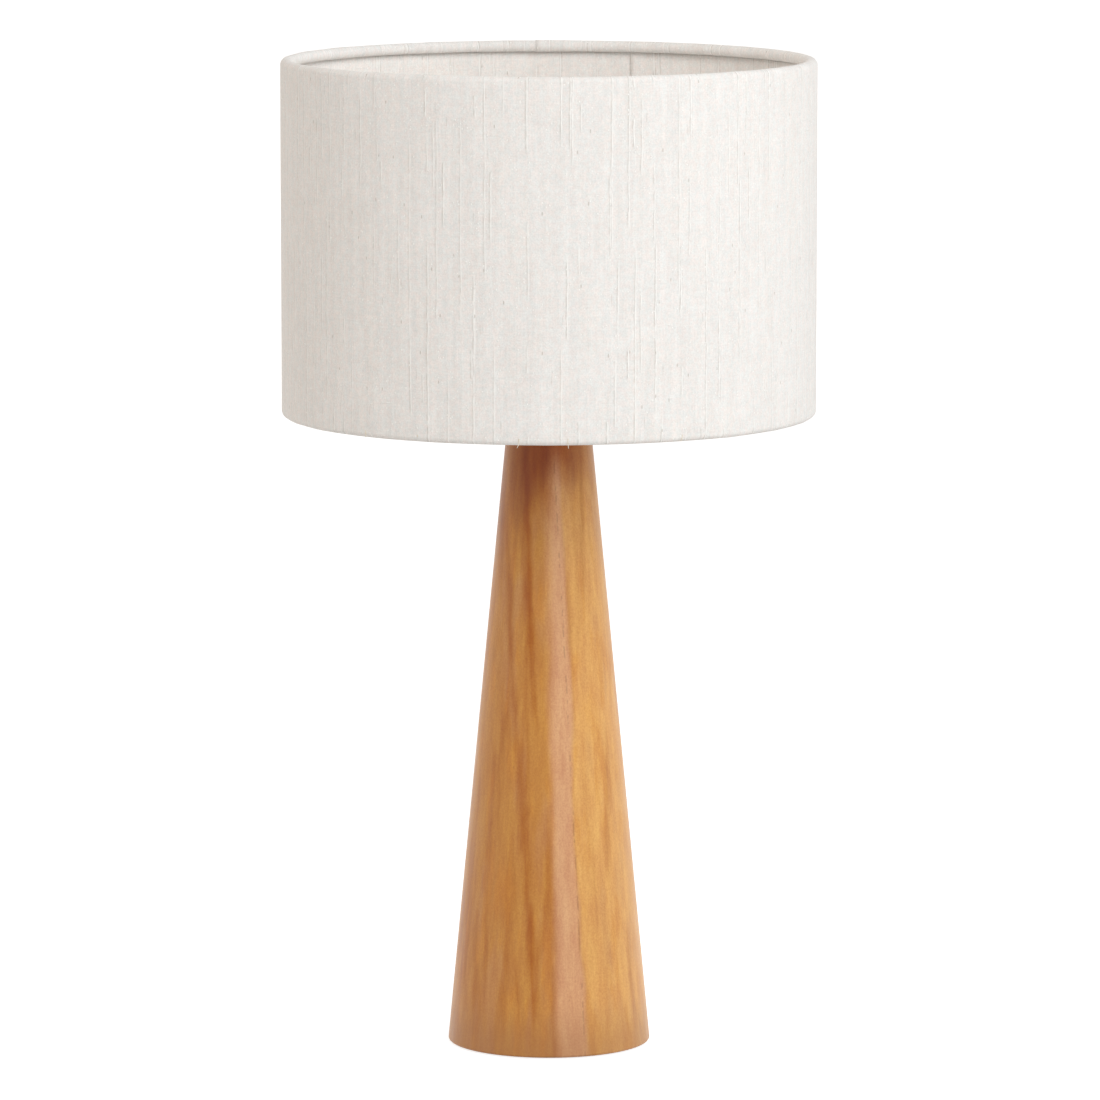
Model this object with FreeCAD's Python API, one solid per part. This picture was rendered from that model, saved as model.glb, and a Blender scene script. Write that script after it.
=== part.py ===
import FreeCAD, Part
import math
import os
from FreeCAD import Vector

# A table lamp: a turned conical wooden column, an E27 lampholder on top of it,
# and a drum shade of linen on a stiff panel, carried between two threaded rings.
# Millimetres, +Z up, origin at the middle of the foot, front towards -Y.
# The cord is not part of the model, only the bush that it would leave through.

# Overall sizes
SHADE_DIAMETER = 300.0
SHADE_HEIGHT = 200.0
COLUMN_TOP = 362.0           # height of the column's flat top
COLUMN_FOOT_DIAMETER = 114.4
COLUMN_TOP_DIAMETER = 45.2

# Fits
SEAT_GAP = 0.05              # between flat faces of two pieces that move on each other
GLUE_GAP = 0.02              # between concentric glued layers of the shade
ROLL_GAP = 0.15              # between a frame wire and the cloth that is rolled round it
SLIP_CLEARANCE = 0.25        # radial, of a rod or disc that is dropped into a hole
THREAD_CLEARANCE = 0.05      # radial, of a threaded fit drawn as plain cylinders
RING_CLEARANCE = 0.08        # radial, of the rings on the skirt's coarse thread
BULB_PLAY = 0.5              # radial, of the bulb's cap in its socket
FITTER_PLAY = 1.2            # radial, of the fitter plate round the skirt

# Column
COLUMN_EDGE_RADIUS = 1.5     # eased edges of the turned wood
FOOT_RIM = 8.2               # width of the wooden rim round the felt
COVER_LEDGE = 11.0           # width of the ledge that the cover is screwed to
CABLE_RECESS_DEPTH = 22.0
RECESS_CORNER_RADIUS = 3.0

# Foot
PAD_THICKNESS = 2.0
PAD_PROUD = 0.8              # how far the felt stands below the wood
COVER_THICKNESS = 3.0
COVER_SCREWS = 3
COVER_SCREW_SHANK = 3.0
COVER_SCREW_HEAD = 6.4
COVER_SCREW_LENGTH = 14.0
SCREW_SLOT = (0.8, 0.9)      # width and depth of a cross recess

# Cable bush at the back of the foot
BUSH_RISE = 3.0              # from the cover to the bush's flange
BUSH_BORE = 7.0
BUSH_WALL = 1.5
BUSH_FLANGE = 2.0            # how far the flange reaches past the body
BUSH_FLANGE_THICKNESS = 1.5
BUSH_EDGE_RADIUS = 0.6
BUSH_INNER_STAND = 1.0       # how far the bush reaches into the cable recess

# Threaded tube through the column, with its washers and nut
TUBE_OUTER = 10.0
TUBE_WALL = 1.0
TUBE_BELOW_NUT = 3.0
WASHER_DIAMETER = 30.0
WASHER_THICKNESS = 1.5
NUT_WALL = 2.0               # least wall of the nut, at the middle of a flat
NUT_THICKNESS = 5.0
TOP_WASHER_DIAMETER = 32.0
TOP_WASHER_THICKNESS = 1.2

# Bulb with an E27 cap
BULB_DIAMETER = 60.0
BULB_LENGTH = 108.0
BULB_STAND = 1.0             # from the rim of the socket to the bulb's neck
BULB_CAP_DIAMETER = 26.4
BULB_CAP_LENGTH = 27.0       # from the tip to the neck
BULB_CAP_WALL = 0.5
BULB_CAP_TURN_IN = 2.1       # radius of the shell's turned-in foot
BULB_TIP_DIAMETER = 9.0
BULB_TIP_FACE_DIAMETER = 6.6
BULB_TIP_HEIGHT = 1.6
BULB_GLASS_HEIGHT = 3.4      # black insulator, from the middle of the tip to the cap
BULB_GLASS_FOOT = 1.2        # how far the insulator stands round the tip
BULB_GLASS_FLANGE = 1.5      # thickness of the insulator inside the cap
BULB_NECK_STEP = 1.1         # how far the neck overhangs the cap
DOME_INSET = 2.0             # how far the body's rim lies inside the widest circle
DOME_WALL = 1.2
DOME_SEAT = 2.0              # how deep the dome sits in the body
LED_BOARD_THICKNESS = 1.6
LED_COUNT = 10
LED_SIZE = (3.5, 2.8, 0.8)
LED_CIRCLE = 32.0

# Lampholder, worked out from the bulb's cap outwards
SOCKET_WALL = 1.6
SOCKET_LEAD_IN = 1.0
SKIRT_CAVITY = 0.9           # space between the socket and the outer wall
SKIRT_WALL = 3.6
SKIRT_RIM_THICKNESS = 3.0
SKIRT_EDGE_RADIUS = 0.8
SKIRT_SHOULDER = 1.9         # step from the skirt's outside in to its neck
SKIRT_NECK_LENGTH = 4.2
SKIRT_NECK_CLEARANCE = 0.1
CAP_OVERHANG = 0.2           # how far the cap stands out past the skirt
CAP_BOSS_WALL = 4.5
CAP_BOSS_HEIGHT = 4.0
CAP_ENTRY_DEPTH = 8.0        # length of the thread that takes the tube
CAP_CAVITY_FLOOR_DIAMETER = 22.0
CAP_CAVITY_TAPER = 4.3
CAP_FLUTES = 24
CAP_FLUTE_RADIUS = 0.8
LOCK_SCREW_DIAMETER = 3.0
LOCK_SCREW_HEIGHT = 2.4      # above the underside of the cap
WIRING_SPACE = 2.3           # clear height under the core

# Insulating core with its terminals and contacts
CORE_FLANGE_THICKNESS = 2.0
CORE_LEDGE = 2.0             # width of the cap's ledge that carries the flange
CORE_RISE = 6.0              # above its flange
CORE_DROP = 5.5              # below its flange
CORE_DROP_WALL = 1.1         # outside the terminals
TERMINAL_OFFSET = 8.0        # from the lamp's axis
TERMINAL_BLOCK = (6.6, 6.4, 5.0)
TERMINAL_PLAY = 0.1
TERMINAL_WIRE_HOLE = 2.4
TERMINAL_HEAD_DIAMETER = 4.6
TERMINAL_HEAD_THICKNESS = 1.4
TERMINAL_SHANK_DIAMETER = 2.6
CONTACT_WIDTH = 5.0
CONTACT_THICKNESS = 0.5
CONTACT_RISE = 6.2           # from the core to the underside of the bulb's tip
CONTACT_KNEE = 1.4           # where the centre contact leans over, above the core
SIDE_CONTACT_REACH = 11.0    # up the side of the bulb's cap

# Shade rings
RING_WALL = 3.2
RING_FLANGE = 6.0            # how far the flange reaches past the collar
RING_FLANGE_THICKNESS = 2.5
RING_EDGE_RADIUS = 0.8
LOWER_RING_HEIGHT = 7.0
UPPER_RING_HEIGHT = 9.0
UPPER_RING_RIBS = 20
UPPER_RING_RIB_RADIUS = 1.1
RING_REST_GAP = 0.3          # between the lower ring and the rim of the cap

# Shade
COVER_CLOTH = 0.6
PANEL_THICKNESS = 0.5
LINING_CLOTH = 0.4
RING_WIRE = 4.8              # top and bottom rings of the frame
ROLL_END_ANGLE = 225.0       # how far the cloth turns round the wire past its crest
LINING_EDGE_GAP = 0.15
SEAM_LAP = 16.0              # width over which the cloth climbs to its lapped end
SEAM_STEP = 0.7
FITTER_DROP = 34.5           # from the fitter plate down to the shade's lower edge
FITTER_MARGIN = 8.0          # how far the plate reaches past the rings
FITTER_THICKNESS = 1.2
FITTER_LIP = 1.6             # upturned stiffening lip
ARM_WIRE = 3.5
ARM_COUNT = 3
ARM_BEND_RADIUS = 14.0
ARM_LEVEL_RUN = 12.0         # level stretch of an arm beside the bottom ring
ARM_UNDER_FITTER = 5.5       # length of an arm welded under the fitter plate
ARM_FIRST_ANGLE = -90.0      # one arm points to the front, away from the seam
NOTCH_CLEARANCE = 0.4        # round an arm where it leaves the rolled hem

# Diameters that follow from the sizes above
PAD_DIAMETER = COLUMN_FOOT_DIAMETER - 2 * FOOT_RIM
CABLE_RECESS_DIAMETER = PAD_DIAMETER - 2 * COVER_LEDGE
COVER_SCREW_CIRCLE = PAD_DIAMETER - COVER_LEDGE
BUSH_BODY_DIAMETER = BUSH_BORE + 2 * BUSH_WALL
BUSH_FLANGE_DIAMETER = BUSH_BODY_DIAMETER + 2 * BUSH_FLANGE
TUBE_BORE = TUBE_OUTER - 2 * TUBE_WALL
COLUMN_BORE = TUBE_OUTER + 2 * SLIP_CLEARANCE
NUT_FLATS = TUBE_OUTER + 2 * NUT_WALL
SOCKET_DIAMETER = BULB_CAP_DIAMETER + 2 * BULB_PLAY
SOCKET_OUTSIDE_DIAMETER = SOCKET_DIAMETER + 2 * SOCKET_WALL
SKIRT_INSIDE_DIAMETER = SOCKET_OUTSIDE_DIAMETER + 2 * SKIRT_CAVITY
SKIRT_DIAMETER = SKIRT_INSIDE_DIAMETER + 2 * SKIRT_WALL
CAP_DIAMETER = SKIRT_DIAMETER + 2 * CAP_OVERHANG
CAP_MOUTH_DIAMETER = SKIRT_DIAMETER - 2 * SKIRT_SHOULDER
CAP_CAVITY_DIAMETER = CAP_MOUTH_DIAMETER - 2 * CORE_LEDGE
CAP_BOSS_DIAMETER = TUBE_OUTER + 2 * CAP_BOSS_WALL
CORE_DIAMETER = SOCKET_OUTSIDE_DIAMETER + 4 * SEAT_GAP
CORE_DROP_DIAMETER = 2 * TERMINAL_OFFSET + TERMINAL_BLOCK[0] + 2 * (TERMINAL_PLAY + CORE_DROP_WALL)
BULB_CAP_FOOT_DIAMETER = BULB_CAP_DIAMETER - 2 * BULB_CAP_TURN_IN
BULB_NECK_DIAMETER = BULB_CAP_DIAMETER + 2 * BULB_NECK_STEP
BULB_BODY_RIM_DIAMETER = BULB_DIAMETER - 2 * DOME_INSET
RING_COLLAR_DIAMETER = SKIRT_DIAMETER + 2 * (RING_CLEARANCE + RING_WALL)
RING_DIAMETER = RING_COLLAR_DIAMETER + 2 * RING_FLANGE
FITTER_HOLE = SKIRT_DIAMETER + 2 * FITTER_PLAY
FITTER_DIAMETER = RING_DIAMETER + 2 * FITTER_MARGIN

# Heights that follow from the sizes above
WOOD_UNDERSIDE = PAD_PROUD
COVER_TOP = PAD_THICKNESS + COVER_THICKNESS
RECESS_TOP = COVER_TOP + CABLE_RECESS_DEPTH
BUSH_HEIGHT = COVER_TOP + BUSH_RISE + BUSH_FLANGE_DIAMETER / 2
HOLDER_BASE = COLUMN_TOP + TOP_WASHER_THICKNESS
CAVITY_FLOOR = HOLDER_BASE + CAP_ENTRY_DEPTH
CORE_SEAT = CAVITY_FLOOR + WIRING_SPACE + CORE_DROP
CORE_FLANGE_TOP = CORE_SEAT + CORE_FLANGE_THICKNESS
CORE_TOP = CORE_FLANGE_TOP + CORE_RISE
CAP_RIM = CORE_FLANGE_TOP + SKIRT_NECK_LENGTH
BULB_SEAT = CORE_TOP + CONTACT_RISE
BULB_NECK = BULB_SEAT + BULB_CAP_LENGTH
SKIRT_RIM = BULB_NECK - BULB_STAND
DOME_CENTRE = BULB_SEAT + BULB_LENGTH - BULB_DIAMETER / 2
DOME_BASE = DOME_CENTRE - math.sqrt((BULB_DIAMETER / 2) ** 2 - (BULB_BODY_RIM_DIAMETER / 2) ** 2)
LOWER_RING_BASE = CAP_RIM + RING_REST_GAP
FITTER_BASE = LOWER_RING_BASE + LOWER_RING_HEIGHT + SEAT_GAP
UPPER_RING_BASE = FITTER_BASE + FITTER_THICKNESS + SEAT_GAP
SHADE_UNDERSIDE = FITTER_BASE - FITTER_DROP
SHADE_TOP = SHADE_UNDERSIDE + SHADE_HEIGHT

# Radii of the shade's layers and of its rings
SHADE_RADIUS = SHADE_DIAMETER / 2
COVER_INSIDE = SHADE_RADIUS - COVER_CLOTH
PANEL_OUTSIDE = COVER_INSIDE - GLUE_GAP
PANEL_INSIDE = PANEL_OUTSIDE - PANEL_THICKNESS
LINING_OUTSIDE = PANEL_INSIDE - GLUE_GAP
LINING_INSIDE = LINING_OUTSIDE - LINING_CLOTH
WIRE_CIRCLE = PANEL_INSIDE - ROLL_GAP - RING_WIRE / 2
ROLL_OUTSIDE = RING_WIRE / 2 + ROLL_GAP + COVER_CLOTH
CORNER_CENTRE = SHADE_RADIUS - ROLL_OUTSIDE
LOWER_WIRE = SHADE_UNDERSIDE + ROLL_OUTSIDE
UPPER_WIRE = SHADE_TOP - ROLL_OUTSIDE

AXIS = Vector(0, 0, 1)
CENTRE = Vector(0, 0, 0)
BACK = Vector(0, 1, 0)


class Outline:
    """A closed outline in the XZ plane, x as the radius and z as the height."""

    def __init__(self, x, z):
        self.first = Vector(x, 0, z)
        self.at = self.first
        self.edges = []

    def line(self, x, z):
        end = Vector(x, 0, z)
        self.edges.append(Part.LineSegment(self.at, end).toShape())
        self.at = end
        return self

    def arc(self, centre_x, centre_z, degrees):
        """Turns about a centre, positive from +X towards +Z, in pieces under a half circle."""
        pieces = math.ceil(abs(degrees) / 150)
        for _ in range(pieces):
            middle = turned_in_plane(self.at, centre_x, centre_z, degrees / pieces / 2)
            end = turned_in_plane(self.at, centre_x, centre_z, degrees / pieces)
            self.edges.append(Part.Arc(self.at, middle, end).toShape())
            self.at = end
        return self

    def curve(self, points):
        """A smooth curve from here through the given points."""
        through = [self.at] + [Vector(x, 0, z) for x, z in points]
        spline = Part.BSplineCurve()
        spline.interpolate(through)
        self.edges.append(spline.toShape())
        self.at = through[-1]
        return self

    def wire(self):
        if self.at.distanceToPoint(self.first) > 1e-7:
            self.line(self.first.x, self.first.z)
        return Part.Wire(self.edges)

    def revolved(self):
        return Part.Face(self.wire()).revolve(CENTRE, AXIS, 360)

    def extruded(self, depth):
        """A slab of that depth, centred on the XZ plane."""
        face = Part.Face(self.wire())
        face.translate(BACK * (-depth / 2))
        return face.extrude(BACK * depth)


def turned_in_plane(point, centre_x, centre_z, degrees):
    angle = math.radians(degrees)
    across, up = point.x - centre_x, point.z - centre_z
    return Vector(
        centre_x + across * math.cos(angle) - up * math.sin(angle),
        0,
        centre_z + across * math.sin(angle) + up * math.cos(angle),
    )


def tube(outer, inner, low, high):
    """A plain ring or tube about the lamp's axis, from its two diameters."""
    return disc(outer, low, high).cut(disc(inner, low, high))


def disc(diameter, low, high):
    return Part.makeCylinder(diameter / 2, high - low, Vector(0, 0, low))


def block(size, middle):
    """A box of that size about its middle point."""
    length, width, height = size
    corner = middle - Vector(length, width, height) / 2
    return Part.makeBox(length, width, height, corner)


def around(shape, count, first=0.0):
    """Copies of a shape spaced evenly about the lamp's axis."""
    copies = []
    for number in range(count):
        copy = shape.copy()
        copy.rotate(CENTRE, AXIS, first + number * 360.0 / count)
        copies.append(copy)
    return copies


# Column and foot

def column_radius(height):
    """Radius of the wooden cone at a height."""
    share = (height - WOOD_UNDERSIDE) / (COLUMN_TOP - WOOD_UNDERSIDE)
    foot, top = COLUMN_FOOT_DIAMETER / 2, COLUMN_TOP_DIAMETER / 2
    return foot + (top - foot) * share


def bush_seat():
    """Distance from the axis to the flat that is spot-faced for the bush's flange."""
    half = BUSH_FLANGE_DIAMETER / 2 + SLIP_CLEARANCE
    return math.sqrt(column_radius(BUSH_HEIGHT + half) ** 2 - half ** 2)


def cover_screw_points():
    """Where the screws' heads lie, with none of them at the bush at the back."""
    first = 90 + 180 / COVER_SCREWS
    points = []
    for number in range(COVER_SCREWS):
        angle = math.radians(first + number * 360 / COVER_SCREWS)
        radius = COVER_SCREW_CIRCLE / 2
        points.append(Vector(radius * math.cos(angle), radius * math.sin(angle), PAD_THICKNESS))
    return points


def column():
    """Turned cone with a bore, a recess for the cable and a stepped rebate for the cover."""
    bore, recess = COLUMN_BORE / 2, CABLE_RECESS_DIAMETER / 2
    rebate = PAD_DIAMETER / 2 + SLIP_CLEARANCE
    foot, top = COLUMN_FOOT_DIAMETER / 2, COLUMN_TOP_DIAMETER / 2
    edge, corner = COLUMN_EDGE_RADIUS, RECESS_CORNER_RADIUS
    lean = math.degrees(math.atan2(foot - top, COLUMN_TOP - WOOD_UNDERSIDE))
    top_centre = top - edge * math.tan(math.radians(45 - lean / 2))
    foot_centre = foot - edge * math.tan(math.radians(45 + lean / 2))
    foot_height = WOOD_UNDERSIDE + edge
    side = math.radians(lean)

    wood = Outline(bore, RECESS_TOP).line(bore, COLUMN_TOP).line(top_centre, COLUMN_TOP)
    wood.arc(top_centre, COLUMN_TOP - edge, lean - 90)
    wood.line(foot_centre + edge * math.cos(side), foot_height + edge * math.sin(side))
    wood.arc(foot_centre, foot_height, -lean - 90)
    wood.line(rebate, WOOD_UNDERSIDE).line(rebate, COVER_TOP).line(recess, COVER_TOP)
    wood.line(recess, RECESS_TOP - corner).arc(recess - corner, RECESS_TOP - corner, 90)

    bush_start = Vector(0, recess / 2, BUSH_HEIGHT)
    hole = Part.makeCylinder(BUSH_BODY_DIAMETER / 2 + THREAD_CLEARANCE, foot, bush_start, BACK)
    seat_start = Vector(0, bush_seat(), BUSH_HEIGHT)
    seat = Part.makeCylinder(BUSH_FLANGE_DIAMETER / 2 + SLIP_CLEARANCE, foot, seat_start, BACK)
    pilot = COVER_SCREW_SHANK / 2 + THREAD_CLEARANCE
    pilots = [
        Part.makeCylinder(pilot, COVER_SCREW_LENGTH, point) for point in cover_screw_points()
    ]
    return wood.revolved().cut([hole, seat] + pilots)


def base_pad():
    """Felt disc that the lamp stands on."""
    return disc(PAD_DIAMETER, 0, PAD_THICKNESS)


def base_cover():
    """Fibreboard disc that closes the cable recess, countersunk for its screws."""
    head = COVER_SCREW_HEAD / 2 + THREAD_CLEARANCE
    shank = COVER_SCREW_SHANK / 2 + THREAD_CLEARANCE
    holes = []
    for point in cover_screw_points():
        holes.append(Part.makeCylinder(shank, COVER_THICKNESS, point))
        holes.append(Part.makeCone(head, shank, head - shank, point))
    return disc(PAD_DIAMETER, PAD_THICKNESS, COVER_TOP).cut(holes)


def countersunk_screw():
    """One screw with its head's face at the origin and its point upwards."""
    head, shank = COVER_SCREW_HEAD / 2, COVER_SCREW_SHANK / 2
    taper, point = head - shank, COVER_SCREW_SHANK
    screw = Outline(0, 0).line(head, 0).line(shank, taper)
    screw.line(shank, COVER_SCREW_LENGTH - point).line(0, COVER_SCREW_LENGTH)
    width, depth = SCREW_SLOT
    slots = [block((head, width, 2 * depth), CENTRE), block((width, head, 2 * depth), CENTRE)]
    return screw.revolved().cut(slots)


def base_cover_screws():
    """Wood screws that hold the cover, turned up into the column."""
    screws = []
    for point in cover_screw_points():
        screw = countersunk_screw()
        screw.translate(point)
        screws.append(screw)
    return Part.makeCompound(screws)


def cable_bush():
    """Flanged bush that lines the cable's way out at the back."""
    bore, body, flange = BUSH_BORE / 2, BUSH_BODY_DIAMETER / 2, BUSH_FLANGE_DIAMETER / 2
    inner_end = CABLE_RECESS_DIAMETER / 2 - BUSH_INNER_STAND
    seat, edge = bush_seat(), BUSH_EDGE_RADIUS
    outer_end = seat + BUSH_FLANGE_THICKNESS
    bush = Outline(bore, inner_end).line(body, inner_end).line(body, seat).line(flange, seat)
    bush.line(flange, outer_end - edge).arc(flange - edge, outer_end - edge, 90)
    bush.line(bore + edge, outer_end).arc(bore + edge, outer_end - edge, 90)
    solid = bush.revolved()
    solid.rotate(CENTRE, Vector(1, 0, 0), -90)
    solid.translate(AXIS * BUSH_HEIGHT)
    return solid


# Threaded tube and what it clamps

def column_tube():
    """Threaded steel tube that ties the lampholder to the nut in the recess."""
    low = RECESS_TOP - WASHER_THICKNESS - NUT_THICKNESS - TUBE_BELOW_NUT
    return tube(TUBE_OUTER, TUBE_BORE, low, CAVITY_FLOOR)


def washer(diameter, low, thickness):
    return tube(diameter, TUBE_OUTER + 2 * SLIP_CLEARANCE, low, low + thickness)


def tube_washer():
    return washer(WASHER_DIAMETER, RECESS_TOP - WASHER_THICKNESS, WASHER_THICKNESS)


def tube_nut():
    """Hexagon nut with its corners chamfered at thirty degrees."""
    high = RECESS_TOP - WASHER_THICKNESS
    low = high - NUT_THICKNESS
    corner = NUT_FLATS / math.sqrt(3)
    corners = []
    for number in range(7):
        angle = math.radians(60 * number)
        corners.append(Vector(corner * math.cos(angle), corner * math.sin(angle), low))
    hexagon = Part.Face(Part.makePolygon(corners)).extrude(AXIS * NUT_THICKNESS)
    reach = (corner + NUT_FLATS / 2) / 2
    drop = (corner - reach) * math.tan(math.radians(30))
    turned = Outline(0, low).line(reach, low).line(corner, low + drop)
    turned.line(corner, high - drop).line(reach, high).line(0, high)
    return hexagon.common(turned.revolved()).cut(disc(TUBE_OUTER + 2 * THREAD_CLEARANCE, low, high))


def top_washer():
    return washer(TOP_WASHER_DIAMETER, COLUMN_TOP, TOP_WASHER_THICKNESS)


# Lampholder

def lock_screw_bar(diameter, length):
    """Radial bar through the boss, from the tube outwards."""
    start = Vector(TUBE_OUTER / 2 + THREAD_CLEARANCE, 0, HOLDER_BASE + LOCK_SCREW_HEIGHT)
    return Part.makeCylinder(diameter / 2, length, start, Vector(1, 0, 0))


def holder_cap():
    """Moulded cup that screws on the tube and takes the skirt in its mouth."""
    outside, boss = CAP_DIAMETER / 2, CAP_BOSS_DIAMETER / 2
    entry, mouth = TUBE_OUTER / 2 + THREAD_CLEARANCE, CAP_MOUTH_DIAMETER / 2
    cavity, floor = CAP_CAVITY_DIAMETER / 2, CAP_CAVITY_FLOOR_DIAMETER / 2
    flare_low = HOLDER_BASE + CAP_BOSS_HEIGHT
    flare_high = flare_low + outside - boss
    edge = SKIRT_EDGE_RADIUS

    cup = Outline(entry, HOLDER_BASE).line(boss, HOLDER_BASE).line(boss, flare_low)
    cup.arc(boss, flare_high, 90)
    cup.line(outside, CAP_RIM - edge).arc(outside - edge, CAP_RIM - edge, 90)
    cup.line(mouth, CAP_RIM).line(mouth, CORE_SEAT).line(cavity, CORE_SEAT)
    cup.line(cavity, CAVITY_FLOOR + CAP_CAVITY_TAPER).line(floor, CAVITY_FLOOR)
    cup.line(entry, CAVITY_FLOOR)

    flute_foot = Vector(outside + CAP_FLUTE_RADIUS / 2, 0, flare_high - edge)
    flute = Part.makeCylinder(CAP_FLUTE_RADIUS, CAP_RIM - flare_high, flute_foot)
    screw_hole = lock_screw_bar(LOCK_SCREW_DIAMETER + 2 * THREAD_CLEARANCE, outside)
    body = cup.revolved()
    land = (CAP_FLUTES // 4 + 0.5) * 360.0 / CAP_FLUTES
    body.rotate(CENTRE, AXIS, land)  # its joint line lies between two flutes, clear of the screw
    return body.cut(around(flute, CAP_FLUTES) + [screw_hole])


def holder_lock_screw():
    """Slotted grub screw that stops the holder turning on its tube."""
    length = CAP_BOSS_WALL - SCREW_SLOT[1] / 2
    screw = lock_screw_bar(LOCK_SCREW_DIAMETER, length)
    end = Vector(TUBE_OUTER / 2 + THREAD_CLEARANCE + length, 0, HOLDER_BASE + LOCK_SCREW_HEIGHT)
    width, depth = SCREW_SLOT
    return screw.cut(block((2 * depth, LOCK_SCREW_DIAMETER, width), end))


def terminal_foot(side):
    """Middle of a terminal block's underside, at a side of -1 or +1."""
    return Vector(side * TERMINAL_OFFSET, 0, CORE_SEAT - CORE_DROP)


def terminal_top():
    return CORE_SEAT - CORE_DROP + TERMINAL_BLOCK[2]


def side_leg():
    """Where the side contact stands, just clear of the bulb's cap."""
    return BULB_CAP_DIAMETER / 2 + 2 * SEAT_GAP + CONTACT_THICKNESS / 2


def contact_slot(middle_x, length, low, high):
    """Room round a contact strip, to be cut from the pieces that it passes."""
    width = CONTACT_WIDTH + 2 * TERMINAL_PLAY
    size = (length + 2 * TERMINAL_PLAY, width, high - low)
    return block(size, Vector(middle_x, 0, (low + high) / 2))


def holder_core():
    """Insulating core: a flange held by the skirt, pockets for terminals, slots for contacts."""
    flange = CAP_MOUTH_DIAMETER / 2 - SLIP_CLEARANCE
    upper, lower = CORE_DIAMETER / 2, CORE_DROP_DIAMETER / 2
    core = Outline(0, CORE_SEAT - CORE_DROP).line(lower, CORE_SEAT - CORE_DROP)
    core.line(lower, CORE_SEAT).line(flange, CORE_SEAT).line(flange, CORE_FLANGE_TOP)
    core.line(upper, CORE_FLANGE_TOP).line(upper, CORE_TOP).line(0, CORE_TOP)

    length, width, height = TERMINAL_BLOCK
    pocket = (length + 2 * TERMINAL_PLAY, width + 2 * TERMINAL_PLAY, 2 * height)
    cuts = [block(pocket, terminal_foot(side)) for side in (-1, 1)]
    top = terminal_top()
    cuts.append(contact_slot(-TERMINAL_OFFSET, CONTACT_THICKNESS, top, CORE_TOP))
    cuts.append(contact_slot(side_leg(), CONTACT_THICKNESS, top, CORE_TOP))
    run = side_leg() - TERMINAL_OFFSET
    groove_top = top + CONTACT_THICKNESS + TERMINAL_PLAY
    cuts.append(contact_slot(TERMINAL_OFFSET + run / 2, run, top, groove_top))
    return core.revolved().cut(cuts)


def terminal_blocks():
    """Brass blocks, each with a cross hole for a wire and a hole for its clamping screw."""
    length, width, height = TERMINAL_BLOCK
    blocks = []
    for side in (-1, 1):
        foot = terminal_foot(side)
        screw = Part.makeCylinder(TERMINAL_SHANK_DIAMETER / 2 + THREAD_CLEARANCE, height / 2, foot)
        wire_start = foot + AXIS * (height * 0.6) - BACK * (width / 2)
        wire = Part.makeCylinder(TERMINAL_WIRE_HOLE / 2, width, wire_start, BACK)
        blocks.append(block(TERMINAL_BLOCK, foot + AXIS * (height / 2)).cut([screw, wire]))
    return Part.makeCompound(blocks)


def terminal_screws():
    """Cheese-head screws, put in from below."""
    slot_width, slot_depth = SCREW_SLOT
    screws = []
    for side in (-1, 1):
        foot = terminal_foot(side)
        head_foot = foot - AXIS * TERMINAL_HEAD_THICKNESS
        head = Part.makeCylinder(TERMINAL_HEAD_DIAMETER / 2, TERMINAL_HEAD_THICKNESS, head_foot)
        shank_length = TERMINAL_BLOCK[2] / 2 - SLIP_CLEARANCE
        shank = Part.makeCylinder(TERMINAL_SHANK_DIAMETER / 2, shank_length, foot)
        slot = block((slot_width, TERMINAL_HEAD_DIAMETER, slot_depth), head_foot)
        screws.append(head.fuse(shank).cut(slot))
    return Part.makeCompound(screws)


def bent_strip(points):
    """A strip of constant thickness, bent along a centreline in the XZ plane."""
    path = [Vector(x, 0, z) for x, z in points]
    normals = []
    for start, end in zip(path, path[1:]):
        along = (end - start).normalize()
        normals.append(Vector(-along.z, 0, along.x))
    left, right = [], []
    for number, point in enumerate(path):
        before = normals[max(number - 1, 0)]
        after = normals[min(number, len(normals) - 1)]
        mitre = (before + after) * (CONTACT_THICKNESS / 2 / (1 + before.dot(after)))
        left.append(point + mitre)
        right.append(point - mitre)
    loop = left + right[::-1]
    strip = Outline(loop[0].x, loop[0].z)
    for corner in loop[1:]:
        strip.line(corner.x, corner.z)
    return strip.extruded(CONTACT_WIDTH)


def centre_contact():
    """Spring strip: up from its terminal, then bent over under the bulb's tip."""
    press = BULB_SEAT - SEAT_GAP - CONTACT_THICKNESS / 2
    reach = BULB_TIP_FACE_DIAMETER / 2
    return bent_strip([
        (-TERMINAL_OFFSET, terminal_top()),
        (-TERMINAL_OFFSET, CORE_TOP + CONTACT_KNEE),
        (-reach, press),
        (reach, press),
        (reach + 2 * CONTACT_THICKNESS, press - 2 * CONTACT_THICKNESS),
    ])


def side_contact():
    """Spring strip: out from its terminal and up the wall of the socket."""
    foot = terminal_top() + CONTACT_THICKNESS / 2
    leg = side_leg()
    return bent_strip([
        (TERMINAL_OFFSET, foot), (leg, foot), (leg, BULB_SEAT + SIDE_CONTACT_REACH)
    ])


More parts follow.
